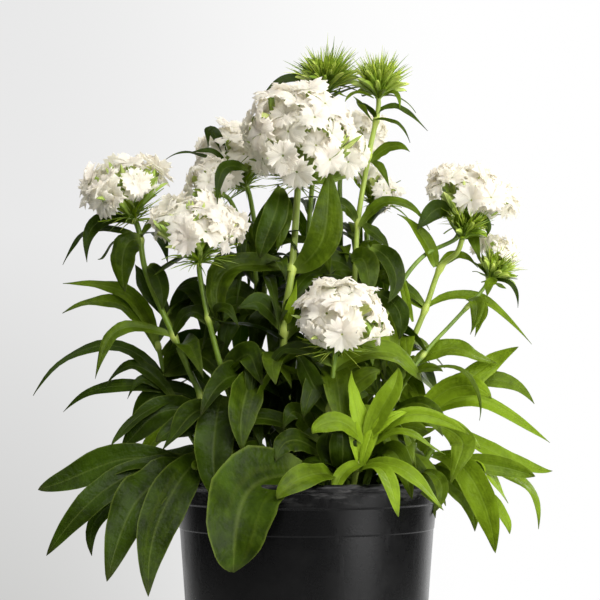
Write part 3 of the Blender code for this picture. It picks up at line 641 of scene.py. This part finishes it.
CLUMPS = {"left": [  # more leaves of the same kind, which fill the plant's outline
    ((-106, -8, 322), (-128, -8, 323), (-135, -8, 298), 10, 50, 0.0),
    ((-106, -4, 316), (-122, 4, 309), (-130, 6, 301), 5, 30, 0.2),
    ((-102, -10, 312), (-111, -18, 304), (-110, -22, 279), 17, 80, 0.2),
    ((-84, 4, 218), (-118, 4, 222), (-151, 8, 206), 9, 50, 0.1),
    ((-76, -4, 216), (-103, -20, 202), (-117, -30, 186), 7, 40, 0.0),
    ((-79, 2, 210), (-104, 2, 234), (-124, 0, 222), 9, 55, 0.1),
    ((-80, 4, 214), (-98, 0, 226), (-110, -4, 214), 7, 50, 0.05),
    ((-66, -26, 178), (-114, -36, 164), (-153, -44, 122), 17, 50, 0.05),
    ((-62, -14, 176), (-108, -20, 158), (-129, -22, 120), 13, 40, 0.1),
    ((-60, -30, 180), (-80, -60, 156), (-90, -78, 102), 25, 65, 0.0),
    ((-64, -6, 206), (-92, -14, 204), (-112, -18, 184), 19, 60, 0.0),
    ((-60, 0, 208), (-88, 4, 218), (-108, 6, 196), 15, 55, 0.0),
    ((-56, 2, 214), (-78, 6, 232), (-96, 8, 216), 13, 50, 0.1),
    ((-48, -24, 196), (-66, -46, 206), (-84, -60, 184), 17, 60, 0.0),
    ((-58, -28, 258), (-72, -20, 266), (-84, -10, 246), 12, 55, 0.0),
    ((-83, -6, 262), (-98, -4, 284), (-106, -2, 297), 13, 65, 0.0),
    ((-80, -10, 256), (-76, 2, 278), (-66, 6, 290), 13, 65, 0.0),
    ((-58, -24, 262), (-68, -8, 280), (-80, -4, 282), 13, 65, 0.0),
    ((-58, -30, 258), (-50, -40, 268), (-40, -46, 256), 9, 60, 0.1),
    ((-48, -26, 222), (-64, -16, 240), (-80, 6, 230), 14, 60, 0.05),
    ((-50, -28, 228), (-34, -44, 240), (-26, -54, 222), 15, 60, 0.0),
    ((-34, 4, 268), (-46, -4, 264), (-52, -8, 236), 15, 60, 0.0),
    ((-20, -6, 264), (-29, -10, 260), (-32, -12, 234), 13, 60, 0.0),
], "front": [
    ((-50, -40, 216), (-54, -58, 188), (-48, -66, 148), 23, 85, 0.05),
    ((-30, -38, 228), (-37, -56, 212), (-37, -62, 183), 20, 85, 0.12),
    ((19, -52, 166), (4, -82, 171), (-17, -95, 158), 15, 50, 0.4),
    ((27, -52, 170), (44, -82, 172), (51, -94, 148), 11, 60, 0.6),
    ((28, -52, 172), (54, -76, 174), (77, -84, 151), 11, 60, 0.6),
    ((33, -59, 186), (29, -66, 209), (26, -62, 231), 9.5, 90, 0.7),
    ((33, -59, 186), (44, -68, 210), (53, -62, 232), 13, 85, 0.65),
    ((34, -59, 187), (46, -68, 202), (58, -64, 206), 7, 60, 0.75),
    ((34, -59, 184), (58, -72, 195), (79, -76, 182), 8, 50, 0.4),
    ((31, -58, 172), (36, -64, 190), (41, -63, 206), 8, 85, 0.8),
    ((31, -58, 174), (28, -64, 192), (25, -64, 204), 8, 85, 0.75),
    ((20, -44, 166), (21, -62, 184), (19, -62, 198), 16, 85, 0.0),
    ((10, -46, 234), (4, -58, 222), (-2, -62, 203), 13, 85, 0.0),
    ((14, -46, 236), (18, -58, 222), (22, -62, 196), 18, 85, 0.2),
    ((4, -40, 190), (-6, -56, 206), (-14, -60, 196), 13, 60, 0.1),
    ((12, -46, 196), (24, -58, 214), (36, -56, 216), 12, 60, 0.2),
    ((10, -44, 180), (-8, -58, 190), (-18, -66, 178), 14, 60, 0.1),
    ((14, -50, 206), (2, -60, 226), (-6, -62, 240), 13, 80, 0.1),
    ((14, -50, 206), (30, -58, 224), (42, -56, 228), 12, 70, 0.2),
    ((-20, -38, 178), (-30, -56, 186), (-40, -66, 172), 14, 50, 0.0),
    ((-40, -34, 190), (-30, -56, 178), (-27, -62, 158), 14, 80, 0.05),
    ((34, -56, 176), (22, -70, 172), (18, -78, 160), 9, 60, 0.6),
    ((26, -50, 172), (14, -56, 182), (14, -58, 196), 14, 88, 0.1),
    ((-30, 0, 188), (-24, -6, 208), (-16, -8, 226), 14, 85, 0.0),
    ((-14, 4, 192), (-22, 0, 210), (-30, -2, 222), 12, 85, 0.0),
], "right": [
    ((66, 0, 236), (92, -6, 245), (117, -4, 236), 14, 60, 0.4),
    ((78, 2, 218), (112, 2, 226), (141, 4, 211), 13, 65, 0.35),
    ((84, 0, 200), (118, -4, 180), (151, -2, 170), 10, 55, 0.55),
    ((90, -8, 180), (130, -20, 164), (139, -24, 136), 9, 50, 0.5),
    ((82, -14, 174), (106, -26, 176), (120, -32, 152), 10, 40, 0.6),
    ((80, -12, 172), (108, -18, 156), (122, -22, 133), 9, 45, 0.5),
    ((72, -20, 174), (90, -36, 160), (99, -42, 136), 13, 50, 0.4),
    ((66, -30, 170), (76, -60, 168), (74, -72, 150), 8, 50, 0.3),
    ((78, -28, 198), (92, -46, 188), (83, -60, 165), 15, 70, 0.5),
    ((70, -14, 232), (98, -22, 228), (104, -24, 201), 3.5, 30, 0.4),
    ((52, -8, 204), (70, -24, 211), (84, -32, 200), 10, 50, 0.35),
    ((46, -14, 190), (64, -36, 206), (80, -48, 192), 13, 55, 0.4),
    ((60, -10, 222), (50, -30, 240), (44, -40, 234), 12, 60, 0.2),
    ((44, -16, 178), (56, -40, 190), (62, -54, 176), 14, 55, 0.3),
    ((66, 0, 200), (92, -12, 222), (112, -18, 214), 14, 55, 0.7),
    ((58, -4, 196), (82, -20, 200), (104, -30, 184), 12, 50, 0.5),
], "upper": [
    ((-50, 24, 366), (-61, 21, 385), (-62, 18, 373), 8, 50, 0.0),
    ((-50, 20, 360), (-60, 14, 370), (-72, 10, 369), 4, 50, 0.0),
    ((-50, 18, 360), (-68, 14, 368), (-88, 8, 364), 4, 40, 0.0),
    ((-36, -14, 354), (-51, -26, 352), (-54, -28, 330), 8, 60, 0.05),
    ((-16, -16, 343), (-20, -32, 322), (-28, -36, 298), 15, 88, 0.05),
    ((-12, -16, 337), (-14, -28, 322), (-18, -32, 302), 10, 88, 0.1),
    ((40, -2, 308), (53, -14, 294), (49, -22, 272), 13, 80, 0.0),
    ((42, -6, 280), (56, -18, 268), (56, -22, 250), 12, 75, 0.0),
    ((28, -4, 300), (36, -18, 296), (37, -24, 276), 15, 80, 0.25),
    ((42, 3, 388), (55, -6, 385), (64, -8, 372), 4, 50, 0.3),
    ((40, 4, 362), (46, -6, 357), (51, -10, 344), 5, 60, 0.3),
    ((82, 3, 295), (95, 8, 304), (107, 8, 296), 8, 55, 0.5),
    ((108, -2, 286), (126, -4, 285), (130, -6, 270), 3.5, 40, 0.2),
    ((104, -4, 276), (108, -8, 267), (103, -10, 252), 7, 50, 0.5),
    ((96, 2, 324), (108, -8, 324), (110, -12, 313), 8, 70, 0.1),
    ((99, 0, 318), (103, -8, 312), (107, -10, 297), 7, 75, 0.3),
    ((32, 5, 323), (22, -6, 334), (16, -14, 320), 9, 70, 0.2),
    ((34, 4, 323), (44, 0, 315), (52, -2, 305), 8, 60, 0.3),
    ((30, 6, 270), (18, -10, 284), (8, -20, 276), 12, 70, 0.1),
    ((30, 6, 270), (42, 8, 288), (52, 10, 292), 11, 50, 0.2),
    ((43, 4, 402), (56, 4, 405), (58, 0, 394), 3.5, 50, 0.4),
    ((44, 6, 402), (57, 10, 404), (69, 12, 394), 2.2, 40, 0.2),
    ((42, 4, 402), (30, -2, 404), (24, -6, 398), 3.5, 50, 0.4),
    ((66, 4, 262), (60, -4, 282), (58, -6, 296), 5, 70, 0.5),
    ((-13, -13, 258), (-9, -20, 272), (-6, -22, 286), 6, 88, 0.9),
    ((-33, 6, 300), (-36, -6, 312), (-34, -10, 330), 8, 85, 0.3),
    ((-30, 5, 262), (-22, -8, 270), (-14, -14, 262), 9, 60, 0.1),
    ((118, -2, 288), (112, -10, 284), (110, -14, 276), 6, 60, 0.4),
    ((-14, -13, 255), (-28, -24, 272), (-42, -30, 268), 13, 60, 0.05),
    ((-14, -13, 255), (2, -22, 270), (14, -26, 264), 13, 60, 0.1),
    ((-32, 6, 262), (-46, 0, 280), (-60, -6, 280), 11, 60, 0.05),
    ((-97, -8, 296), (-90, -14, 286), (-88, -18, 268), 11, 70, 0.05),
]}
for seed, (part, table) in enumerate(CLUMPS.items()):
    swept("leaves_" + part, *blades(table, 80 + seed), leaf_look, "leaf_green")


def level(heading):
    """The direction along the ground at an angle from +X."""
    return np.array([math.cos(heading), math.sin(heading), 0])


def joint_pairs(seed):
    """More leaves in the thick of the plant: a pair at each joint, each pair square to the last.

    A leaf is left out where it would hang far out, or before the stems and heads in front.
    """
    rng = np.random.default_rng(seed)
    table = []
    for name, (_, _, joints) in STEMS.items():
        line = stem_line(name)
        for step, height in enumerate(joints):
            root = np.array([np.interp(height + 1, line[:, 2], line[:, k]) for k in range(3)])
            heading = rng.uniform(0, math.pi) + step * math.pi / 2
            length = np.interp(height, [160, 230, 330, 400], [62, 56, 40, 26])
            for turn in (0, math.pi):
                reach = length * rng.uniform(0.8, 1.15)
                out = level(heading + turn)
                middle = root + out * reach * 0.5 + UP * reach * rng.uniform(0.25, 0.42)
                tip = root + out * reach * 0.95 + UP * reach * rng.uniform(-0.1, 0.4)
                hides = tip[1] < -20 and tip[2] > 250
                hides = hides or (tip[0] > 52 and tip[2] > 236) or (tip[1] < -55 and tip[2] < 215)
                hides = hides or name in ("front_shoot", "front_rosette")
                if np.hypot(*tip[:2]) < 100 and not hides:
                    # Tone rises towards the right: a painted backlit glow, as the light is behind the plant
                    # there.
                    tone = rng.uniform(0, 0.3) + 0.2 * np.clip(tip[0] / 60, 0, 1)
                    table.append((root, middle, tip, reach * rng.uniform(0.2, 0.27),
                                  rng.uniform(-10, 50), tone))
    return table


def crown_leaves(seed, count):
    """Leaves of the short shoots round the clump's foot, which arch out over the lip of the pot."""
    rng = np.random.default_rng(seed)
    table = []
    for i in range(count):
        heading = 2 * math.pi * (i + rng.uniform(-0.3, 0.3)) / count
        out = level(heading)
        root = out * rng.uniform(20, 52) + UP * rng.uniform(150, 178)
        reach = rng.uniform(42, 68)
        drop = rng.uniform(-0.5, 0.7)
        middle = root + out * reach * 0.5 + UP * reach * rng.uniform(0.3, 0.5)
        tip = root + out * reach * rng.uniform(0.8, 1.0) + UP * reach * drop
        if tip[1] < -55 and abs(tip[0]) < 50:
            continue
        if np.hypot(*tip[:2]) > 74 and tip[2] < 172:
            middle[2] = max(middle[2], 178)
        turn = 40 if out[1] < 0.2 else -30
        table.append((root, middle, tip, reach * rng.uniform(0.2, 0.28), turn, rng.uniform(0, 0.5)))
    return table


def thicket(seed, count):
    """Old dark leaves that fill the middle of the plant, rooted on its stems and drooping.

    As above, none hangs before the stems and heads in front, or out of the middle.
    """
    rng = np.random.default_rng(seed)
    lines = [stem_line(name) for name in STEMS if "rosette" not in name]
    high = ["top_left", "back_left", "back_right", "low_left", "low_right", "top_right"]
    lines += [line[line[:, 2] > 250] for line in map(stem_line, high)]
    table = []
    while len(table) < count:
        line = lines[rng.integers(len(lines))]
        spots = line[(line[:, 2] > 160) & (line[:, 2] < (335 if line[0, 2] > 200 else 292))]
        root = spots[rng.integers(len(spots))]
        heading = rng.uniform(0, 2 * math.pi)
        out = level(heading)
        reach = rng.uniform(34, 62)
        middle = root + out * reach * 0.5 + UP * reach * rng.uniform(0.1, 0.35)
        tip = root + out * reach * rng.uniform(0.7, 0.95) + UP * reach * rng.uniform(-0.75, 0.35)
        hides = (tip[0] > 52 and tip[2] > 236) or (root[1] < -20 and root[2] > 238)
        hides = hides or (root[0] > 70 and tip[1] < -20)
        hides = hides or (root[0] > 45 and root[2] > 260 and tip[1] < -20)
        if tip[2] > 158 and abs(tip[0] - 5) < 74 and -66 < tip[1] < 74 and tip[2] < 338 and not hides:
            turn = rng.uniform(10, 80) if out[1] < 0.3 else rng.uniform(-60, 20)
            # Tone rises towards the right: a painted backlit glow, as the light is behind the plant there.
            tone = rng.uniform(0, 0.15) + 0.3 * np.clip(tip[0] / 60, 0, 1)
            width = reach * rng.uniform(0.22, 0.32) * np.interp(root[2], [262, 300], [1, 0.65])
            table.append((root, middle, tip, width, turn, tone))
    return table


for part, table in (("joints", joint_pairs(5)), ("crown", crown_leaves(6, 46)),
                    ("thicket", thicket(7, 170))):
    swept("leaves_" + part, *blades(table, 90), leaf_look, "leaf_green")

# === Flower heads =================================================================================
# A dense dome of small flowers on short green calyx tubes. Each flower has five thin white petals,
# broad and toothed at the end, which overlap like the blades of a propeller round a small throat.
FLOWER, SMALL_FLOWER = 12.0, 9.5  # radius of one flower
PETAL_ROWS = np.array([0.06, 0.42, 0.78, 1.0])
PETAL_SIDES = 20
USUAL_REACH, USUAL_HEIGHT = 0.86, 0.55
REACH = {  # a dome's radius over that of its head
    "bloom_centre": 0.82, "bloom_left": 0.76, "bloom_second_left": 0.78, "bloom_front": 0.79}
FLATTENED = {  # a dome's height over its radius
    "bloom_centre": 1.06, "bloom_back_left": 0.85, "bloom_front": 0.72, "bloom_left": 0.46,
    "bloom_second_left": 0.42, "bloom_right": 0.45}
LEANING = {  # where the dome leans away from its foot's axis
    "bloom_left": (-0.2, -0.38, 0.9), "bloom_second_left": (0.05, -0.48, 0.87),
    "bloom_right": (0.22, -0.38, 0.9), "bloom_low_right": (0.7, -0.35, 0.6),
    "bloom_low_left": (-0.6, -0.5, 0.62), "bloom_back_left": (-0.35, -0.35, 0.87)}
BEHIND = 60  # added to the distance of a flower at the back, so that none is picked for a gap
GAPS = {  # x and z of places on each dome's front where buds are still closed
    "bloom_centre": [(22, 369), (24, 352), (-32, 378)],
    "bloom_left": [(-118, 359), (-109, 351), (-89, 338)],
    "bloom_second_left": [(-71, 327), (-59, 320), (-88, 315)],
    "bloom_right": [(98, 344), (118, 332), (82, 341)]}


def dome(count, spread, seed):
    """Directions round +Z by the golden angle, from the pole to spread degrees off it."""
    rng = np.random.default_rng(seed)
    i = np.arange(count)
    height = 1 - (1 - math.cos(math.radians(spread))) * (i + 0.5) / count
    around = i * math.pi * (3 - math.sqrt(5)) + rng.uniform(-0.2, 0.2, count)
    ring = np.sqrt(1 - height ** 2)
    return np.stack([ring * np.cos(around), ring * np.sin(around), height], axis=1)


def turned_to(axis, vectors):
    """The vectors, turned with the shortest turn that takes +Z to the axis."""
    axis = unit(axis)
    cross = np.cross(UP, axis)
    return (vectors + np.cross(cross, vectors)
            + np.cross(cross, np.cross(cross, vectors)) / (1 + axis[2]))


def flower_places(name, centre, axis, radius, seed):
    """The middle and facing of each flower in a head: a flattened dome, lumpy and uneven."""
    rng = np.random.default_rng(seed)
    reach = REACH.get(name, USUAL_REACH)
    count = max(6, int(radius * radius * (reach / USUAL_REACH) ** 2 / 30))
    way = dome(count, 112, seed)
    lump = 1 + 0.10 * rng.standard_normal((count, 1)).clip(-1.6, 1.0)
    shape = np.array([1, 1, FLATTENED.get(name, USUAL_HEIGHT)])
    axis = LEANING.get(name, axis)
    place = np.array(centre, float) + turned_to(axis, way * shape * radius * reach * lump)
    facing = turned_to(axis, unit(way / shape)) + 0.22 * rng.standard_normal((count, 3))
    return place, unit(facing + 0.15 * unit(axis))


def petals(place, facing, seed, flower):
    """Five petals round each flower's middle.

    At share s along a petal and c from -1 to 1 across it, a point lies at distance size * s * e(c)
    and angle 50 degrees * c, where e(c) is the toothed edge and counts only near s = 1. It rises
    to a shallow cup, droops at the edge, ruffles, and tilts so that each petal overlaps the next.
    """
    rng = np.random.default_rng(seed)
    count = len(place)
    n = count * 5
    c, skin = both_skins(PETAL_SIDES // 2 + 1)
    s = PETAL_ROWS[None, :, None]
    size = np.repeat(flower * rng.uniform(0.84, 1.08, count), 5) * rng.uniform(0.90, 1.08, n)
    size = size[:, None, None]
    teeth = np.where(np.arange(11) % 2 == 1, 0.22, 0.0) + rng.uniform(-0.07, 0.07, (n, 11))
    teeth = np.concatenate([teeth, teeth[:, 1:-1][:, ::-1]], axis=1)[:, None]
    edge = 1 - 0.15 * c ** 4 - teeth
    out = s * (1 + (edge - 1) * s ** 6)
    spread = math.radians(50) * (0.70 + 0.30 * s)
    turn = np.repeat(rng.uniform(0, 6.3, count), 5) + np.tile(np.arange(5), count) * 2 * math.pi / 5
    turn = (turn + rng.uniform(-0.09, 0.09, n))[:, None, None]
    droop = np.repeat(rng.uniform(-0.12, 0.26, count), 5)[:, None, None]
    droop = droop + rng.uniform(-0.14, 0.18, (n, 1, 1))
    phase = rng.uniform(0, 6.3, (n, 1, 1))
    rise = 0.20 * np.sin(2.2 * s) - droop * s ** 2.2 + 0.10 * c * s
    rise = rise + 0.14 * s * s * np.sin(3.2 * c + phase) + 0.08 * s ** 3 * np.cos(7 * c + 2 * phase)
    rise = rise - 0.03 * c * c * s
    angle = turn + spread * c
    first = unit(np.cross(facing, [0.3, 0.2, -0.93]))
    second = np.cross(facing, first)
    first, second, facing = (np.repeat(v, 5, axis=0)[:, None, None] for v in (first, second, facing))
    middle = np.repeat(place, 5, axis=0)[:, None, None]
    flat = size * out
    rings = middle + first * (flat * np.cos(angle))[..., None] + second * (flat * np.sin(angle))[..., None]
    rings = rings + facing * (size * rise + 0.12 * skin)[..., None]
    tone = np.repeat(rng.uniform(0, 1, count), 5)[:, None, None]
    outwards = -np.arange(PETAL_SIDES)  # the same first point, but turning the other way
    return rings[:, :, outwards], grain(c, s, tone)[:, :, outwards]


def petal_material():
    """White petal: a thin, finely veined, velvety skin with a green-cream throat and faint pink."""
    look = Look("white_petal")
    across, way, tone = look.split(look.grain())
    veins = look.math("SINE", across * 34.0).between(0.2, 1.0)
    cloud = look.noise(look.place(), 55.0, 3.0)
    white = look.mixed(cloud.between(0.35, 0.7), (0.94, 0.92, 0.855), (0.92, 0.875, 0.83))
    white = look.mixed(tone * way.between(0.95, 0.3) * 0.14, white, (0.86, 0.68, 0.70))
    white = look.mixed(way.between(0.16, 0.03) * 0.5, white, (0.78, 0.80, 0.60))
    normal = look.bump(veins * 0.5 + cloud, 0.0003, 0.5)
    return look.surface(white, 0.6, normal, glow=((0.99, 0.965, 0.885), 0.61),
                        **{"Specular IOR Level": 0.2})


def tubes(line, tangent, girth, around):
    """Rings of one tube along each line, square to it, starting from a side fixed in space."""
    first = unit(np.cross(tangent, [0.37, -0.6, 0.71]))
    return sheath(line, first, np.cross(tangent, first), girth, around)


def calyxes(place, facing, foot, seed):
    """A green tube under each flower: along a curve from its throat to the head's foot.

    The tube is wide for its first 15 mm or so, with a flared, five-toothed mouth, and then narrows
    to the thin stalk that joins the others at the foot. Rings and grain start at the foot, which
    is the palest part.
    """
    rng = np.random.default_rng(seed)
    count = len(place)
    s = np.linspace(0, 1, 11)[None, :, None]
    start = (place - facing * 1.1)[:, None]
    end = (foot + rng.uniform(-1.2, 1.2, (count, 3)))[:, None]
    bend = start - facing[:, None] * np.linalg.norm(end - start, axis=-1, keepdims=True) * 0.55
    line = (1 - s) ** 2 * start + 2 * s * (1 - s) * bend + s * s * end
    tangent = unit(2 * (1 - s) * (bend - start) + 2 * s * (end - bend))
    around = ring_angles(10)
    girth = np.interp(s, [0, 0.08, 0.3, 0.5, 0.62, 1], [2.1, 1.7, 1.8, 1.6, 0.8, 0.6])
    rings = tubes(line, tangent, girth * (1 + 0.10 * np.cos(5 * around)), around)
    teeth = np.where(np.arange(10) % 2 == 0, 0.495, 0.0)
    rings[:, 0] += facing[:, None] * teeth[None, :, None]
    tone = np.maximum(rng.uniform(0, 1, (count, 1, 1)), 1 - 9 * s)
    return rings[:, ::-1, ::-1], grain(np.cos(around), s, tone)


def bracts(foot, axis, count, seed, length=(17, 27), width=(1.6, 3.0), spread=(38, 95)):
    """Narrow pointed leaves that fan out from a head's foot, as rows for blades()."""
    rng = np.random.default_rng(seed)
    around = 2 * math.pi * (np.arange(count) + rng.uniform(-0.3, 0.3, count)) / count
    lean = np.radians(rng.uniform(*spread, count))
    local = np.stack([np.sin(lean) * np.cos(around), np.sin(lean) * np.sin(around), np.cos(lean)], axis=1)
    way = turned_to(axis, local)
    reach = rng.uniform(*length, count)
    table = []
    for out, far in zip(way, reach):
        root = foot + unit(axis) * rng.uniform(-1, 5) + out * 1.0
        middle = root + (out * 0.5 + unit(axis) * 0.10) * far
        tip = root + out * far + UP * rng.uniform(-0.12, 0.22) * far
        table.append((root, middle, tip, rng.uniform(*width), rng.uniform(-20, 40), rng.uniform(0.2, 0.8)))
    return table


def spikes(foot, axis, count, seed, reach, girth, spread):
    """Awns: thin four-sided curved needles in a brush round a head's foot, pale towards the tip.

    Each leaves the foot along a golden-angle direction, bends a little up or down, and tapers as
    (1 - s)^0.7 from its girth to a point.
    """
    rng = np.random.default_rng(seed)
    way = turned_to(axis, dome(count, spread, seed))
    length = rng.uniform(*reach, (count, 1, 1))
    s = np.linspace(0, 1, 5)[None, :, None]
    sag = rng.standard_normal((count, 1, 3)) * 0.10
    line = foot + unit(axis) * rng.uniform(-1, 4, (count, 1, 1)) + (way[:, None] + sag * s) * s * length
    line = line + unit(axis) * (s * (1 - s)) * length * 0.25
    around = ring_angles(4)
    girth = rng.uniform(*girth, (count, 1, 1)) * ((1 - s) ** 0.7 + 0.06)
    rings = tubes(line, unit(np.gradient(line, axis=1)), girth, around)
    return rings, grain(np.cos(around), s, rng.uniform(0.2, 1, (count, 1, 1)) * s ** 0.7)


def closed_buds(foot, axis, radius, count, seed, spread=70):
    """Spindles from the head's foot outwards: thin stalk, swollen calyx, pointed pale tip."""
    rng = np.random.default_rng(seed)
    way = turned_to(axis, dome(count, spread, seed))
    length = radius * rng.uniform(1.15, 1.6, (count, 1, 1))
    s = np.linspace(0, 1, 9)[None, :, None]
    line = foot + way[:, None] * s * length + unit(axis) * (s * (1 - s)) * length * 0.5
    around = ring_angles(8)
    girth = np.interp(s, [0, 0.3, 0.5, 0.85, 1], [0.5, 0.7, 1.7, 1.3, 0.15])
    rings = tubes(line, unit(np.gradient(line, axis=1)), girth * (1 + 0.12 * np.cos(4 * around)), around)
    return rings, grain(np.cos(around), s, rng.uniform(0.3, 1, (count, 1, 1)) * s)


def late_buds(foot, axis, radius, gaps, seed):
    """Closed buds all through a dome, and a tight bunch from its foot to each gap in its flowers."""
    groups = [closed_buds(foot, axis, radius * 0.82, 8 + radius // 2, 450 + seed, 60)]
    for i, gap in enumerate(gaps):
        reach = np.linalg.norm(gap - foot)
        groups.append(closed_buds(foot, gap - foot, reach / 1.35, 7, 480 + seed + i, 8))
    return [np.concatenate(parts) for parts in zip(*groups)]


petal_look = petal_material()
calyx_look = stem_material("calyx_skin", (0.20, 0.32, 0.035), (0.32, 0.46, 0.06), (0.58, 0.66, 0.20))
awn_look = stem_material("awn_skin", (0.11, 0.20, 0.010), (0.22, 0.34, 0.015), (0.54, 0.64, 0.07))
for seed, (name, (_, centre, axis, radius)) in enumerate(HEADS.items()):
    head = name.removeprefix("bloom")
    foot = head_foot(centre, axis, radius, HEAD_BASE)
    place, facing = flower_places(name, centre, axis, radius, 200 + seed)
    if name == "bloom_centre":
        lobe, lobe_facing = flower_places(name, (22, -8, 364), (0.75, -0.55, 0.35), 16, 222)
        place, facing = np.vstack([place, lobe]), np.vstack([facing, lobe_facing])
    gaps = []
    for x, z in GAPS.get(name, []):
        away = np.hypot(place[:, 0] - x, place[:, 2] - z) + BEHIND * (facing[:, 1] > 0)
        gaps.append(place[np.argmin(away)])
    for gap in gaps:
        kept = np.linalg.norm(place - gap, axis=1) > (8 if radius == 29 else 6)
        place, facing = place[kept], facing[kept]
    flower = FLOWER if radius > 20 else SMALL_FLOWER
    swept("petals" + head, *petals(place, facing, 300 + seed, flower), petal_look, "petal_white", [name])
    swept("calyxes" + head, *calyxes(place, facing, foot, 400 + seed), calyx_look, "bud_green")
    swept("late_buds" + head, *late_buds(foot, axis, radius, gaps, seed), calyx_look, "bud_green")
    table = bracts(foot, axis, 8 + radius // 4, 500 + seed)
    swept("bracts" + head, *blades(table, seed), leaf_look, "leaf_green")
    awns = spikes(foot, axis, 40 + radius, 550 + seed, (radius * 0.45, radius * 0.82), (0.35, 0.7), 110)
    swept("awns" + head, *awns, awn_look, "bud_green")

# === Bud heads ====================================================================================
# Tufts of closed buds: short ribbed green tubes with pale tips, packed among many thin green awns
# that stand up and out past them like a brush. The one at the right has leafy bracts.
bud_look = stem_material("bud_skin", (0.13, 0.22, 0.014), (0.25, 0.37, 0.03), (0.54, 0.64, 0.12))
for seed, (name, (_, centre, axis, radius)) in enumerate(BUD_HEADS.items()):
    foot = head_foot(centre, axis, radius, BUD_BASE)
    large = radius > 14
    leafy = name == "buds_right"
    buds = closed_buds(foot, axis, radius, 44 if large else 9 if leafy else 24, 600 + seed)
    swept(name + "_closed", *buds, bud_look, "bud_green", [name])
    awns = spikes(foot, axis, 520 if large else 170, 700 + seed, (radius * 0.9, radius * 1.85),
                  (0.45, 0.95), 62 if radius > 16 else 48)
    swept(name + "_awns", *awns, awn_look, "bud_green")
    shape = ((4, 7), (10, 80)) if leafy else ((2.4, 4.2), (38, 95))
    table = bracts(foot, axis, 26 if leafy else 9, 800 + seed, (radius, radius * 1.6), *shape)
    swept(name + "_bracts", *blades(table, 820 + seed), leaf_look, "leaf_green")

# The first flowers of the tuft at the far right are already open, behind its buds.
_, centre, axis, radius = BUD_HEADS["buds_far_right"]
foot = head_foot(centre, axis, radius, BUD_BASE)
place, facing = flower_places("opening", (120, 11, 306), (0.45, -0.25, 0.85), 14, 850)
swept("petals_far_right", *petals(place, facing, 851, 10), petal_look, "petal_white")
swept("calyxes_far_right", *calyxes(place, facing, foot, 852), calyx_look, "bud_green")

# === Studio =======================================================================================
# A pale floor that fades into a plain pale surround, greyer at the lower left, a large soft light
# behind at the right, a broad one at the front right and a weaker fill from above the camera.


def lamp(name, place, aim, size, power):
    """A round soft light at a place, turned to shine at a point."""
    data = bpy.data.lights.new(name, "AREA")
    data.shape = "DISK"
    data.size = size
    data.energy = power
    made = added(name, data)
    made.location = place
    made.rotation_euler = (Vector(aim) - Vector(place)).to_track_quat("-Z", "Y").to_euler()


lamp("key", (0.95, 0.85, 0.85), (0, 0, 0.28), 0.9, 13)
lamp("side", (1.0, -0.86, 0.24), (0, 0, 0.18), 1.1, 21)
lamp("fill", (0.35, -1.15, 1.25), (0, 0, 0.25), 1.0, 18)

surround = Look("surround", bpy.data.worlds)
bpy.context.scene.world = surround.holder
right, back, up = surround.split(surround.node("ShaderNodeTexCoord", output="Generated"))
strength = surround.math("MAXIMUM", back.between(0.45, 0.85, 0.03, 1.0), up.between(0.12, 0.6, 0.03, 0.95))
light = surround.node("ShaderNodeBackground", sockets={
    "Strength": strength * right.between(0.0, 0.45, 1.0, 2.0)})
height = surround.node("ShaderNodeMapRange", sockets={0: up, 1: -0.13, 2: 0.10})
left_grey = surround.mixed(height, (0.60, 0.60, 0.59), (0.81, 0.81, 0.81))
backdrop = surround.node("ShaderNodeBackground", sockets={
    "Color": surround.mixed(right.between(-0.19, 0.10), left_grey, (1.0, 1.0, 1.0))})
seen = surround.node("ShaderNodeLightPath", output="Is Camera Ray")
both = surround.node("ShaderNodeMixShader", sockets={0: seen, 1: light, 2: backdrop})
surround.node("ShaderNodeOutputWorld", sockets={"Surface": both})

FLOOR_RADIUS, FLOOR_SIDES = 0.7, 96
around = ring_angles(FLOOR_SIDES)
rim = np.stack([np.cos(around), np.sin(around), 0 * around], axis=1) * FLOOR_RADIUS - (0, 0, 0.0002)
floor_mesh = bpy.data.meshes.new("floor")
floor_mesh.from_pydata(rim.tolist(), [], [tuple(range(FLOOR_SIDES))])
floor = added("floor", floor_mesh)
floor_look = Look("floor")
x, y, _ = floor_look.split(floor_look.place())
fade = floor_look.math("SQRT", x * x + y * y).between(0.24, 0.66, 1.0, 0.0)
floor_mesh.materials.append(floor_look.surface((0.66, 0.66, 0.66), 0.9, Alpha=fade))

camera_data = bpy.data.cameras.new("camera")
camera_data.lens = 102
camera_data.sensor_width = 36
camera = added("camera", camera_data)
camera.location = (-0.004, -1.05, 0.211)
camera.rotation_euler = (math.radians(93.5), 0, 0)
bpy.context.scene.camera = camera
bpy.context.scene.view_settings.view_transform = "Standard"
